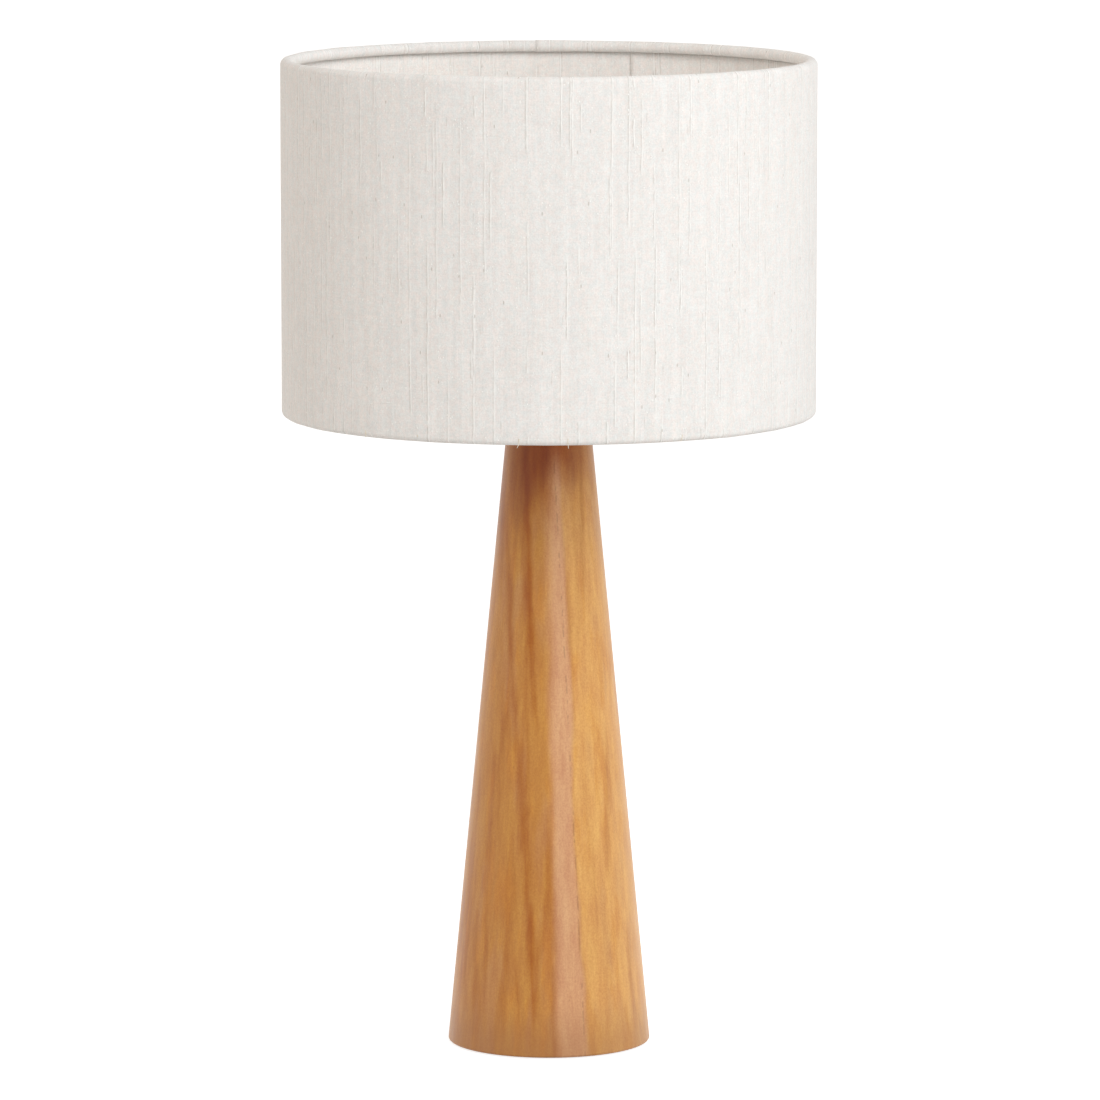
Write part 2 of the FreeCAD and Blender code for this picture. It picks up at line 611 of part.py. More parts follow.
def holder_skirt():
    """Double-walled sleeve: rings run on its outside, the bulb screws into its inner wall."""
    outside, wall = SKIRT_DIAMETER / 2, SKIRT_INSIDE_DIAMETER / 2
    neck = CAP_MOUTH_DIAMETER / 2 - SKIRT_NECK_CLEARANCE
    socket, socket_outside = SOCKET_DIAMETER / 2, SOCKET_OUTSIDE_DIAMETER / 2
    ceiling = SKIRT_RIM - SKIRT_RIM_THICKNESS
    edge, lead = SKIRT_EDGE_RADIUS, SOCKET_LEAD_IN
    skirt = Outline(wall, CORE_FLANGE_TOP).line(neck, CORE_FLANGE_TOP).line(neck, CAP_RIM)
    skirt.line(outside, CAP_RIM).line(outside, SKIRT_RIM - edge)
    skirt.arc(outside - edge, SKIRT_RIM - edge, 90)
    skirt.line(socket + lead, SKIRT_RIM).line(socket, SKIRT_RIM - lead).line(socket, CORE_TOP)
    skirt.line(socket_outside, CORE_TOP).line(socket_outside, ceiling).line(wall, ceiling)
    slot_top = BULB_SEAT + SIDE_CONTACT_REACH + 2 * TERMINAL_PLAY
    return skirt.revolved().cut(contact_slot(side_leg(), CONTACT_THICKNESS, CORE_TOP, slot_top))


# Shade rings

def shade_ring(base, height, flange_low):
    """Threaded ring with a round-edged flange, low or high on its collar."""
    inside, collar = SKIRT_DIAMETER / 2 + RING_CLEARANCE, RING_COLLAR_DIAMETER / 2
    outside, edge = RING_DIAMETER / 2, RING_EDGE_RADIUS
    low = base + flange_low
    high, top = low + RING_FLANGE_THICKNESS, base + height
    ring = Outline(inside, base)
    if low > base:
        ring.line(collar, base).line(collar, low)
    ring.line(outside - edge, low).arc(outside - edge, low + edge, 90)
    ring.line(outside, high - edge).arc(outside - edge, high - edge, 90)
    if top > high:
        ring.line(collar, high).line(collar, top - edge).arc(collar - edge, top - edge, 90)
    return ring.line(inside, top).revolved()


def lower_ring():
    """Smooth ring below the shade's fitter plate."""
    return shade_ring(LOWER_RING_BASE, LOWER_RING_HEIGHT, LOWER_RING_HEIGHT - RING_FLANGE_THICKNESS)


def upper_ring():
    """Ribbed ring that clamps the fitter plate down."""
    rib_low = UPPER_RING_BASE + RING_FLANGE_THICKNESS / 2
    rib_high = UPPER_RING_BASE + UPPER_RING_HEIGHT - 2 * RING_EDGE_RADIUS
    rib_foot = Vector(RING_COLLAR_DIAMETER / 2, 0, rib_low)
    rib = Part.makeCylinder(UPPER_RING_RIB_RADIUS, rib_high - rib_low, rib_foot)
    ring = shade_ring(UPPER_RING_BASE, UPPER_RING_HEIGHT, 0)
    return ring.fuse(around(rib, UPPER_RING_RIBS)).removeSplitter()


# Bulb

def bulb_tip():
    """Contact button in the middle of the bulb's cap."""
    seat = Vector(0, 0, BULB_SEAT)
    return Part.makeCone(BULB_TIP_FACE_DIAMETER / 2, BULB_TIP_DIAMETER / 2, BULB_TIP_HEIGHT, seat)


def cap_foot():
    """Height of the turned-in foot of the bulb's cap."""
    return BULB_SEAT + BULB_TIP_HEIGHT / 2 + BULB_GLASS_HEIGHT


def bulb_insulator():
    """Black glass between tip and shell, with a flange inside the shell."""
    low, foot = BULB_SEAT + BULB_TIP_HEIGHT / 2, cap_foot()
    turned_in = foot + BULB_CAP_TURN_IN
    neck = BULB_CAP_FOOT_DIAMETER / 2 - SEAT_GAP
    flange = BULB_CAP_DIAMETER / 2 - BULB_CAP_WALL - SEAT_GAP
    glass = Outline(0, low).line(BULB_TIP_DIAMETER / 2 + BULB_GLASS_FOOT, low).line(neck, foot)
    glass.line(neck, turned_in).line(flange, turned_in)
    glass.line(flange, turned_in + BULB_GLASS_FLANGE).line(0, turned_in + BULB_GLASS_FLANGE)
    face, rim = BULB_TIP_FACE_DIAMETER / 2 + SEAT_GAP, BULB_TIP_DIAMETER / 2 + SEAT_GAP
    seat = Part.makeCone(face, rim, BULB_TIP_HEIGHT, Vector(0, 0, BULB_SEAT))
    return glass.revolved().cut(seat)


def bulb_cap():
    """Thin metal shell of the bulb's screw cap, turned in at its foot."""
    outside, foot = BULB_CAP_DIAMETER / 2, BULB_CAP_FOOT_DIAMETER / 2
    inside = outside - BULB_CAP_WALL
    turned_in = cap_foot() + BULB_CAP_TURN_IN
    shell = Outline(foot, cap_foot()).arc(foot, turned_in, 90)
    shell.line(outside, BULB_NECK).line(inside, BULB_NECK).line(inside, turned_in)
    return shell.arc(foot, turned_in, -90).revolved()


def bulb_body():
    """Closed housing of the bulb, with a plug that fills the cap and a seat for the dome."""
    plug = BULB_CAP_DIAMETER / 2 - BULB_CAP_WALL - SEAT_GAP
    plug_low = cap_foot() + BULB_CAP_TURN_IN + BULB_GLASS_FLANGE + SEAT_GAP
    neck, rim = BULB_NECK_DIAMETER / 2, BULB_BODY_RIM_DIAMETER / 2
    flare, height = rim - neck, DOME_BASE - BULB_NECK
    seat = rim - DOME_WALL + SEAT_GAP
    body = Outline(0, plug_low).line(plug, plug_low).line(plug, BULB_NECK).line(neck, BULB_NECK)
    body.curve([
        (neck + flare * 0.13, BULB_NECK + height * 0.25),
        (neck + flare * 0.42, BULB_NECK + height * 0.50),
        (neck + flare * 0.72, BULB_NECK + height * 0.75),
        (rim, DOME_BASE),
    ])
    body.line(seat, DOME_BASE).line(seat, DOME_BASE - DOME_SEAT).line(0, DOME_BASE - DOME_SEAT)
    return body.revolved()


def bulb_dome():
    """Opal dome, most of a sphere, with a collar that sits in the body."""
    outer, inner = BULB_DIAMETER / 2, BULB_DIAMETER / 2 - DOME_WALL
    base = DOME_BASE + SEAT_GAP
    inner_base = base + DOME_WALL
    outer_depth, inner_depth = DOME_CENTRE - base, DOME_CENTRE - inner_base
    collar_outside = BULB_BODY_RIM_DIAMETER / 2 - DOME_WALL
    collar_inside, collar_foot = collar_outside - DOME_WALL, base - DOME_SEAT

    dome = Outline(collar_outside, base).line(math.sqrt(outer ** 2 - outer_depth ** 2), base)
    dome.arc(0, DOME_CENTRE, 90 + math.degrees(math.asin(outer_depth / outer)))
    dome.line(0, DOME_CENTRE + inner)
    dome.arc(0, DOME_CENTRE, -90 - math.degrees(math.asin(inner_depth / inner)))
    dome.line(collar_inside, collar_foot).line(collar_outside, collar_foot)
    return dome.revolved()


def bulb_led_board():
    """Round circuit board with its light-emitting chips, on the body's deck."""
    deck = DOME_BASE - DOME_SEAT
    face = deck + LED_BOARD_THICKNESS
    radius = BULB_BODY_RIM_DIAMETER / 2 - 2 * DOME_WALL - SLIP_CLEARANCE
    board = Part.makeCylinder(radius, LED_BOARD_THICKNESS, Vector(0, 0, deck))
    chip = block(LED_SIZE, Vector(LED_CIRCLE / 2, 0, face + LED_SIZE[2] / 2))
    return board.fuse(around(chip, LED_COUNT))


# Shade

def frame_ring(height):
    """Round wire ring of the shade's frame."""
    return Part.makeTorus(WIRE_CIRCLE, RING_WIRE / 2, Vector(0, 0, height))


def top_frame_ring():
    return frame_ring(UPPER_WIRE)


def bottom_frame_ring():
    return frame_ring(LOWER_WIRE)


def fitter_plate():
    """Pressed plate with the hole for the lampholder and an upturned lip."""
    hole, outside, thick = FITTER_HOLE / 2, FITTER_DIAMETER / 2, FITTER_THICKNESS
    top = FITTER_BASE + thick
    plate = Outline(hole, FITTER_BASE).line(outside - thick, FITTER_BASE)
    plate.arc(outside - thick, top, 90).line(outside, top + FITTER_LIP)
    plate.line(outside - thick, top + FITTER_LIP).line(outside - thick, top).line(hole, top)
    return plate.revolved()


def arm_path():
    """Centreline of one arm in the XZ plane: level off the ring, up, and level under the plate."""
    under_plate = FITTER_BASE - ARM_WIRE / 2
    end = FITTER_DIAMETER / 2 - FITTER_THICKNESS - ARM_UNDER_FITTER
    start = Vector(WIRE_CIRCLE, 0, LOWER_WIRE)
    low_knee = start - Vector(RING_WIRE / 2 + ARM_LEVEL_RUN, 0, 0)
    high_knee = Vector(end + ARM_UNDER_FITTER + ARM_BEND_RADIUS / 4, 0, under_plate)
    level, slope = Vector(-1, 0, 0), (high_knee - low_knee).normalize()
    turn = level.getAngle(slope)
    back_off = ARM_BEND_RADIUS * math.tan(turn / 2)
    depth = ARM_BEND_RADIUS * (1 / math.cos(turn / 2) - 1)
    edges = []
    for knee, before, after in ((low_knee, level, slope), (high_knee, slope, level)):
        into, out = knee - before * back_off, knee + after * back_off
        middle = knee + (after - before).normalize() * depth
        edges.append(Part.LineSegment(start, into).toShape())
        edges.append(Part.Arc(into, middle, out).toShape())
        start = out
    edges.append(Part.LineSegment(start, Vector(end, 0, under_plate)).toShape())
    return Part.Wire(edges)


def fitter_arms():
    """Wires from the bottom ring to the underside of the fitter plate, saddled on the ring."""
    section = Part.makeCircle(ARM_WIRE / 2, Vector(WIRE_CIRCLE, 0, LOWER_WIRE), Vector(-1, 0, 0))
    wire = arm_path().makePipeShell([Part.Wire(section)], True, False)
    arm = max(wire.cut(bottom_frame_ring()).Solids, key=lambda solid: solid.Volume)
    return Part.makeCompound(around(arm, ARM_COUNT, ARM_FIRST_ANGLE))


def shade_panel():
    """Stiff sheet that keeps the drum round, held between the two rolled hems."""
    return tube(2 * PANEL_OUTSIDE, 2 * PANEL_INSIDE, LOWER_WIRE, UPPER_WIRE)


def shade_lining():
    """Linen glued inside the panel, ending just short of the hems."""
    edge = 2 * ROLL_OUTSIDE + LINING_EDGE_GAP
    return tube(2 * LINING_OUTSIDE, 2 * LINING_INSIDE, SHADE_UNDERSIDE + edge, SHADE_TOP - edge)


def rolled_hem(cloth, height, side, step):
    """Takes the cloth's outline round a frame wire, across its edge by a step, and back."""
    cloth.arc(CORNER_CENTRE, height, side * 90).line(WIRE_CIRCLE, cloth.at.z)
    cloth.arc(WIRE_CIRCLE, height, side * ROLL_END_ANGLE)
    across = (cloth.at - Vector(WIRE_CIRCLE, 0, height)).normalize() * step
    cloth.line(cloth.at.x + across.x, cloth.at.z + across.z)
    cloth.arc(WIRE_CIRCLE, height, -side * ROLL_END_ANGLE).line(CORNER_CENTRE, cloth.at.z)
    cloth.arc(CORNER_CENTRE, height, -side * 90)


def seam_lap():
    """The cloth's lapped end at the back: it climbs off the drum and ends in a step."""
    half = math.degrees(SEAM_LAP / SHADE_RADIUS) / 2
    under = SHADE_RADIUS - COVER_CLOTH / 2

    def at(degrees, radius):
        angle = math.radians(90 + degrees)
        return Vector(radius * math.cos(angle), radius * math.sin(angle), LOWER_WIRE)

    climb = Part.Arc(
        at(half, SHADE_RADIUS + SEAM_STEP), at(0, SHADE_RADIUS + 0.65 * SEAM_STEP),
        at(-half, SHADE_RADIUS),
    )
    outline = Part.Wire([
        Part.Arc(at(-half, under), at(0, under), at(half, under)).toShape(),
        Part.LineSegment(at(half, under), at(half, SHADE_RADIUS + SEAM_STEP)).toShape(),
        climb.toShape(),
        Part.LineSegment(at(-half, SHADE_RADIUS), at(-half, under)).toShape(),
    ])
    return Part.Face(outline).extrude(AXIS * (UPPER_WIRE - LOWER_WIRE))


def hem_notch():
    """Room for one arm where the cloth is slit from its turned-in edge down to the wire."""
    width = ARM_WIRE + 2 * NOTCH_CLEARANCE
    low, high = LOWER_WIRE - width / 2, LOWER_WIRE + 2 * ROLL_OUTSIDE
    inside = WIRE_CIRCLE - 2 * ROLL_OUTSIDE
    under = Part.makeBox(WIRE_CIRCLE - inside, width, high - low, Vector(inside, -width / 2, low))
    over = Part.makeBox(
        PANEL_INSIDE - WIRE_CIRCLE, width, high - LOWER_WIRE,
        Vector(WIRE_CIRCLE, -width / 2, LOWER_WIRE),
    )
    return under.fuse(over)


def shade_cover():
    """Linen over the panel, rolled round both frame rings, lapped at the back, slit for the arms."""
    cloth = Outline(SHADE_RADIUS, LOWER_WIRE).line(SHADE_RADIUS, UPPER_WIRE)
    rolled_hem(cloth, UPPER_WIRE, 1, -COVER_CLOTH)
    cloth.line(COVER_INSIDE, LOWER_WIRE)
    rolled_hem(cloth, LOWER_WIRE, -1, COVER_CLOTH)
    lapped = cloth.revolved().fuse(seam_lap())
    return lapped.cut(around(hem_notch(), ARM_COUNT, ARM_FIRST_ANGLE))


SUB_PARTS = [
    column, base_pad, base_cover, base_cover_screws, cable_bush,
    column_tube, tube_washer, tube_nut, top_washer,
    holder_cap, holder_lock_screw, holder_core, terminal_blocks, terminal_screws,
    centre_contact, side_contact, holder_skirt,
    lower_ring, upper_ring,
    bulb_tip, bulb_insulator, bulb_cap, bulb_body, bulb_dome, bulb_led_board,
    top_frame_ring, bottom_frame_ring, fitter_plate, fitter_arms,
    shade_panel, shade_lining, shade_cover,
]


def main():
    os.makedirs("parts", exist_ok=True)
    for make in SUB_PARTS:
        name, shape = make.__name__, make()
        if not shape.isValid():
            raise ValueError(f"{name} is not a valid solid")
        print(f"{name}: {len(shape.Solids)} solid(s), {shape.Volume / 1000:.2f} cm3")
        shape.exportStep(f"parts/{name}.step")


main()
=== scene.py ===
"""Looks of a column table lamp: a drum shade of slubbed linen on a turned column of stained hardwood."""

import math
import random

import bmesh
import bpy
from bpy.props import FloatProperty, IntProperty, PointerProperty, StringProperty
from mathutils import Matrix, Vector, noise


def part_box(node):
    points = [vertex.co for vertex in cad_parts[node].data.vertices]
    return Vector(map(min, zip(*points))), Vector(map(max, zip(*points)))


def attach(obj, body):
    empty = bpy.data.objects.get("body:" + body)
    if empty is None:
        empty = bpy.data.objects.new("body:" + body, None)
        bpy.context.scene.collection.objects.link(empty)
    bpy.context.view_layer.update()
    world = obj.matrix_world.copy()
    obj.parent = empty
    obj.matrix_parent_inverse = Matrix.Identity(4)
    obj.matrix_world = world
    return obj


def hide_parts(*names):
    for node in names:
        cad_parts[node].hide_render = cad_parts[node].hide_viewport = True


bl_info = {
    "name": "Column table lamp",
    "version": (1, 0, 0),
    "blender": (4, 5, 0),
    "location": "3D View > Sidebar > Lamp",
    "description": "Cloth, threads, felt, finishes and stage for a column table lamp",
    "category": "Object",
}

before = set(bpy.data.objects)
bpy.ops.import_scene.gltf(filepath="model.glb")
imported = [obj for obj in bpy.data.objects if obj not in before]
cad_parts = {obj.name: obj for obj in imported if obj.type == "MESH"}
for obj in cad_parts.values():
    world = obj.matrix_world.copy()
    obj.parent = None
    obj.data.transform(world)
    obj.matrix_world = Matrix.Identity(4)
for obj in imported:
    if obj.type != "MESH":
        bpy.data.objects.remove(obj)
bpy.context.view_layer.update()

MM = 0.001
AXIS = Vector((0, 0, 1))


class Span:
    """Radius and heights that a round CAD piece takes, in metres."""

    def __init__(self, node):
        low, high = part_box(node)
        self.radius = max(-low.x, high.x)
        self.low, self.high = low.z, high.z
        self.middle = (low.z + high.z) / 2


SHADE, PANEL, LINING = Span("shade_cover"), Span("shade_panel"), Span("shade_lining")
TOP_WIRE, LOW_WIRE = Span("top_frame_ring"), Span("bottom_frame_ring")
WIRE_RADIUS = (TOP_WIRE.high - TOP_WIRE.low) / 2
WIRE_CIRCLE = TOP_WIRE.radius - WIRE_RADIUS
COLUMN, FELT = Span("column"), Span("base_pad")
SKIRT, SKIRT_CAP = Span("holder_skirt"), Span("holder_cap")
BULB_SHELL, BULB_BODY = Span("bulb_cap"), Span("bulb_body")
PLATE = Span("fitter_plate")
ARM_ANGLES = (-90.0, 30.0, 150.0)


# Settings

SIZE = {"unit": "LENGTH", "subtype": "DISTANCE"}


class LinenSettings(bpy.types.PropertyGroup):
    """The cloth of the shade."""

    colour: StringProperty(
        name="Cloth colour", description="Colour of the linen, as sRGB hex", default="#F1F0EE"
    )
    # A little lighter than the cover: partly painted light, standing in for light that comes through the
    # cloth
    lining: StringProperty(
        name="Lining colour", description="Colour of the linen inside the drum, as sRGB hex",
        default="#F6F4F1",
    )
    thread: FloatProperty(
        name="Thread spacing",
        description="Distance between threads; a little coarser than the real 0.6 mm, so that it shows",
        default=0.9 * MM, **SIZE,
    )
    thickness: FloatProperty(
        name="Cloth thickness", description="Thickness of the cover's cloth", default=0.42 * MM, **SIZE
    )
    lap: FloatProperty(
        name="Seam lap", description="Width by which the cloth laps over itself at the back", default=16 * MM,
        **SIZE,
    )
    rounds: IntProperty(
        name="Facets round the drum", description="Columns of faces in the cloth", default=288, min=48,
        max=384,
    )


class WoodSettings(bpy.types.PropertyGroup):
    """The wood of the column."""

    left: StringProperty(
        name="First board", description="Colour of the board to the left, as sRGB hex", default="#C2853E"
    )
    # Partly the wood's own paler colour, partly a painted highlight of the softbox
    pale: StringProperty(
        name="Pale stripe", description="Colour of the stripe beside the joint, as sRGB hex",
        default="#D8A379",
    )
    right: StringProperty(
        name="Second board", description="Colour of the board to the right, as sRGB hex", default="#DCA35C"
    )
    streak: StringProperty(
        name="Streaks", description="Colour of the dark streaks, as sRGB hex", default="#A4580C"
    )
    gloss: FloatProperty(
        name="Lacquer roughness", description="Roughness of the satin lacquer", default=0.40, min=0.1,
        max=0.9, subtype="FACTOR",
    )


class HolderSettings(bpy.types.PropertyGroup):
    """The lampholder and the bulb's cap."""

    ring_pitch: FloatProperty(
        name="Ring thread pitch", description="Pitch of the coarse thread for the shade rings",
        default=2.5 * MM, **SIZE,
    )
    ring_depth: FloatProperty(
        name="Ring thread depth", description="Depth of the coarse thread", default=0.7 * MM, **SIZE
    )
    bulb_pitch: FloatProperty(
        name="Bulb thread pitch", description="Seven turns to the inch", default=25.4 / 7 * MM, **SIZE
    )
    bulb_depth: FloatProperty(
        name="Bulb thread depth", description="Depth of the rolled thread", default=0.95 * MM, **SIZE
    )


class StageSettings(bpy.types.PropertyGroup):
    """Camera, light and floor."""

    lens: FloatProperty(
        name="Lens", description="Focal length in millimetres on a sensor 36 mm wide", default=243.6
    )
    away: FloatProperty(
        name="Camera distance", description="From the lamp's axis to the camera", default=4.155, **SIZE
    )
    height: FloatProperty(name="Camera height", description="Above the floor", default=0.847, **SIZE)
    tilt: FloatProperty(
        name="Camera tilt", description="Downward tilt", default=math.radians(7.76), unit="ROTATION",
        subtype="ANGLE",
    )
    aside: FloatProperty(
        name="Camera offset", description="Sideways offset of the camera", default=0.6 * MM, **SIZE
    )
    key: FloatProperty(
        name="High softbox", description="Power of the softbox above the camera's right, in watts",
        default=22.5,
    )
    low: FloatProperty(
        name="Low softbox", description="Power of the softbox at the height of the shade, in watts",
        default=15.8,
    )
    walls: FloatProperty(
        name="Side walls", description="Strength of the light from the walls to both sides", default=1.36
    )
    behind: FloatProperty(
        name="Back wall", description="Strength of the light from behind the lamp", default=0.55
    )
    ceiling: FloatProperty(name="Ceiling", description="Strength of the light from above", default=0.20)
    fill: FloatProperty(name="Room light", description="Strength of the light from all round", default=0.10)


# Paint

def hex_colour(text):
    """Linear RGBA of an sRGB hex value."""
    channels = [int(text[at:at + 2], 16) / 255 for at in (1, 3, 5)]
    linear = [c / 12.92 if c <= 0.04045 else ((c + 0.055) / 1.055) ** 2.4 for c in channels]
    return (*linear, 1.0)


def plug(tree, socket, value):
    """Links a socket to a node or to one of its outputs, or gives it a value or a hex colour."""
    if isinstance(value, str):
        value = hex_colour(value)
    if isinstance(value, bpy.types.Node):
        value = next(output for output in value.outputs if output.enabled)
    if isinstance(value, bpy.types.NodeSocket):
        tree.links.new(value, socket)
    else:
        socket.default_value = value


def add(tree, kind, *values, **named):
    """Adds a node. Names in small letters are its settings and others its inputs; values without
    a name fill the inputs that it shows, in their order."""
    made = tree.nodes.new("ShaderNode" + kind)
    for name in filter(str.islower, named):
        setattr(made, name, named[name])
    for socket, value in zip([socket for socket in made.inputs if socket.enabled], values):
        plug(tree, socket, value)
    for name in named:
        if not name.islower():
            plug(tree, made.inputs[name.replace("_", " ")], named[name])
    return made


def new_material(name, roughness=0.5, **sockets):
    """An empty material with its shader; the sockets are set by name."""
    paint = bpy.data.materials.new(name)
    paint.use_nodes = True
    tree = paint.node_tree
    tree.nodes.clear()
    shader = add(tree, "BsdfPrincipled", Roughness=roughness, **sockets)
    out = add(tree, "OutputMaterial", Surface=shader)
    out.location.x = 300
    return paint, tree, shader


# Settings that nodes share
TIMES, TIMES_PLUS = {"operation": "MULTIPLY"}, {"operation": "MULTIPLY_ADD"}
LARGER, SIZE_OF = {"operation": "MAXIMUM"}, {"operation": "ABSOLUTE"}
SMOOTH = {"interpolation_type": "SMOOTHSTEP"}
COLOURS, TINT = {"data_type": "RGBA"}, {"data_type": "RGBA", "blend_type": "MULTIPLY"}
FLAT = {"noise_dimensions": "2D"}


def per_mm(sizes):
    """Scale at which a pattern of unit size has these sizes in millimetres."""
    return tuple(1 / (size * MM) for size in sizes)


def mottle(tree, place, sizes, detail=2.0, roughness=0.5, span=None, **settings):
    """Uneven clouds of these real sizes in millimetres, from 0 to 1 about 0.5. A span gives the
    two levels between which they step smoothly, and the values there if they aren't 0 and 1."""
    vector = add(tree, "Mapping", place, Scale=per_mm(sizes))
    clouds = add(tree, "TexNoise", vector, Scale=1.0, Detail=detail, Roughness=roughness, **settings)
    return add(tree, "MapRange", clouds, *span, **SMOOTH) if span else clouds


# Factors on the linen's own colour
ROSY, COOL = (1.012, 0.984, 0.980), (0.978, 0.996, 1.002)
# Thick threads: millimetres from one to the next, length in millimetres, share that is there
SLUBS = ((14, 130, 0.75), (23, 50, 0.5), (29, 18, 0.25))
SLUB_WIDTH = 0.5 * MM     # drawn a little wider than real ones, so that they show


def spindles(tree, cloth, width, length, share, spread=0.45):
    """Thin thread thickenings of a size in millimetres, in a share of the cells of a pattern.
    Spread is half a thickening's share of its cell. The value is 1 in the middle of each."""
    scale = per_mm((width / spread / 2, length / spread / 2, 1))
    vector = add(tree, "Mapping", cloth, Scale=scale)
    cells = add(tree, "TexVoronoi", vector, Scale=1.0, voronoi_dimensions="2D")
    chance = add(tree, "SeparateColor", cells.outputs["Color"])
    chosen = add(tree, "Math", chance, share, operation="LESS_THAN")
    body = add(tree, "MapRange", cells.outputs["Distance"], spread, spread * 0.5, **SMOOTH)
    return add(tree, "Math", chosen, body, **TIMES)


def slub_threads(tree, cloth, apart, length, share):
    """Thick stretches of thread, about one every so many millimetres, ending at different heights."""
    vector = add(tree, "Mapping", cloth, Scale=per_mm((apart, length, 1)))
    cells = add(tree, "TexVoronoi", vector, Scale=1.0, voronoi_dimensions="2D")
    offset = add(tree, "VectorMath", vector, cells.outputs["Position"], operation="SUBTRACT")
    offset = add(tree, "SeparateXYZ", offset)
    aside = add(tree, "Math", offset.outputs["X"], **SIZE_OF)
    aside = add(tree, "Math", aside, apart * MM, **TIMES)
    along = add(tree, "Math", offset.outputs["Y"], **SIZE_OF)
    chance = add(tree, "SeparateColor", cells.outputs["Color"])
    strength = add(tree, "MapRange", chance.outputs["Green"], 0.0, 1.0, 0.5, 1.0, **SMOOTH)
    chosen = add(tree, "Math", chance.outputs["Red"], share, operation="LESS_THAN")
    strength = add(tree, "Math", strength, chosen, **TIMES)
    width = add(tree, "MapRange", aside, SLUB_WIDTH, SLUB_WIDTH / 2, **SMOOTH)
    ends = add(tree, "MapRange", along, 0.48, 0.36, **SMOOTH)
    body = add(tree, "Math", width, ends, **TIMES)
    return add(tree, "Math", body, strength, **TIMES)


def linen(name, colour, thread):
    """Slub linen, plain weave, unbleached with a little cream: matt, with a few raised thick
    threads, each with a fine painted shadow beside it, pale neps, brown specks of bark and a faint rosy
    mottle."""
    paint, tree, shader = new_material(
        name, 0.92, Sheen_Weight=0.1, Sheen_Roughness=0.5, Specular_IOR_Level=0.2
    )
    flat = add(tree, "UVMap", uv_map="cloth")
    # Threads wander sideways by a millimetre or so along the cloth
    wander = add(tree, "Math", mottle(tree, flat, (60, 22, 1), 1.0, **FLAT), 0.5, operation="SUBTRACT")
    shift = add(tree, "Math", wander, 1.2 * MM, **TIMES)
    cloth = add(tree, "VectorMath", flat, add(tree, "CombineXYZ", shift), operation="ADD")
    # The cloth shifted sideways, where each thick thread's painted shadow lies
    beside = add(tree, "VectorMath", cloth, (0.8 * MM, 0, 0), operation="ADD")
    pitch = thread / MM

    base = hex_colour(colour)
    rosy, cool = ((*[c * f for c, f in zip(base, factors)], 1) for factors in (ROSY, COOL))
    fibre = mottle(tree, flat, (3.2, 3.6, 1), 2.0, 0.7, **FLAT)
    tone = add(tree, "Mix", add(tree, "MapRange", fibre, 0.35, 0.65, **SMOOTH), rosy, cool, **COLOURS)
    cream = mottle(tree, flat, (13, 36, 1), 2.0, 0.6, span=(0.42, 0.66, 0.0, 0.3), **FLAT)
    tone = add(tree, "Mix", cream, tone, "#FFFCF9", **TINT)

    height = 0.0
    for sizes, depth, relief, wanders in (
        # (sizes across and along in millimetres, depth of its tone, share of the relief, follows the threads)
        ((16, 16, 1), 0.016, 0.0, False),
        ((4, 6, 1), 0.026, 0.0, False),
        ((1.5, 2.0, 1), 0.034, 0.0, False),
        ((pitch * 1.1, 30, 1), 0.022, 0.2, True),
        ((5, 130, 1), 0.024, 0.0, True),
        ((14, pitch, 1), 0.016, 0.2, False),
        ((pitch, pitch, 1), 0.050, 0.3, False),
    ):
        pattern = mottle(tree, cloth if wanders else flat, sizes, 2.0, 0.6, **FLAT)
        level = add(tree, "MapRange", pattern, 0.25, 0.75, 1 - depth, 1 + depth * 0.6, **SMOOTH)
        tone = add(tree, "Mix", 1.0, tone, add(tree, "CombineColor", level, level, level), **TINT)
        if relief:
            height = add(tree, "Math", pattern, relief, height, **TIMES_PLUS)

    slub, slub_shadow = 0.0, 0.0
    for apart, length, share in SLUBS:
        slub = add(tree, "Math", slub, slub_threads(tree, cloth, apart, length, share), **LARGER)
        slub_shadow = add(tree, "Math", slub_shadow, slub_threads(tree, beside, apart, length, share), **LARGER)
    # A few lie across the cloth
    slub = add(tree, "Math", slub, spindles(tree, flat, 10, 0.9, 0.002, 0.3), **LARGER)
    broken = mottle(tree, flat, (2, 7, 1), 2.0, span=(0.36, 0.56), **FLAT)
    slub_shadow = add(tree, "Math", add(tree, "Math", slub_shadow, broken, **TIMES), 0.22, **TIMES)
    # Painted shadow beside each thick thread
    tone = add(tree, "Mix", slub_shadow, tone, "#9A917F", **COLOURS)
    beaded = mottle(tree, flat, (1.3, 3.2, 1), 2.0, span=(0.34, 0.58, 0.5, 1.0), **FLAT)
    nep = spindles(tree, flat, 0.9, 1.3, 0.03)
    pale = add(tree, "Math", add(tree, "Math", slub, beaded, **TIMES), nep, **LARGER)
    tone = add(tree, "Mix", pale, tone, "#FFFFFD", **COLOURS)
    fleck = spindles(tree, flat, 0.9, 2.8, 0.003)
    dash = add(tree, "Math", spindles(tree, cloth, 0.8, 8, 0.005), 0.45, **TIMES)
    bark = add(tree, "Math", fleck, dash, **LARGER)
    bark = add(tree, "Math", bark, 0.36, **TIMES)
    tone = add(tree, "Mix", bark, tone, "#8A7A63", **COLOURS)

    height = add(tree, "Math", slub, 0.8, height, **TIMES_PLUS)
    height = add(tree, "Math", nep, 0.6, height, **TIMES_PLUS)
    bump = add(tree, "Bump", Height=height, Strength=0.85, Distance=0.33 * MM)
    plug(tree, shader.inputs["Base Color"], tone)
    plug(tree, shader.inputs["Normal"], bump)
    return paint


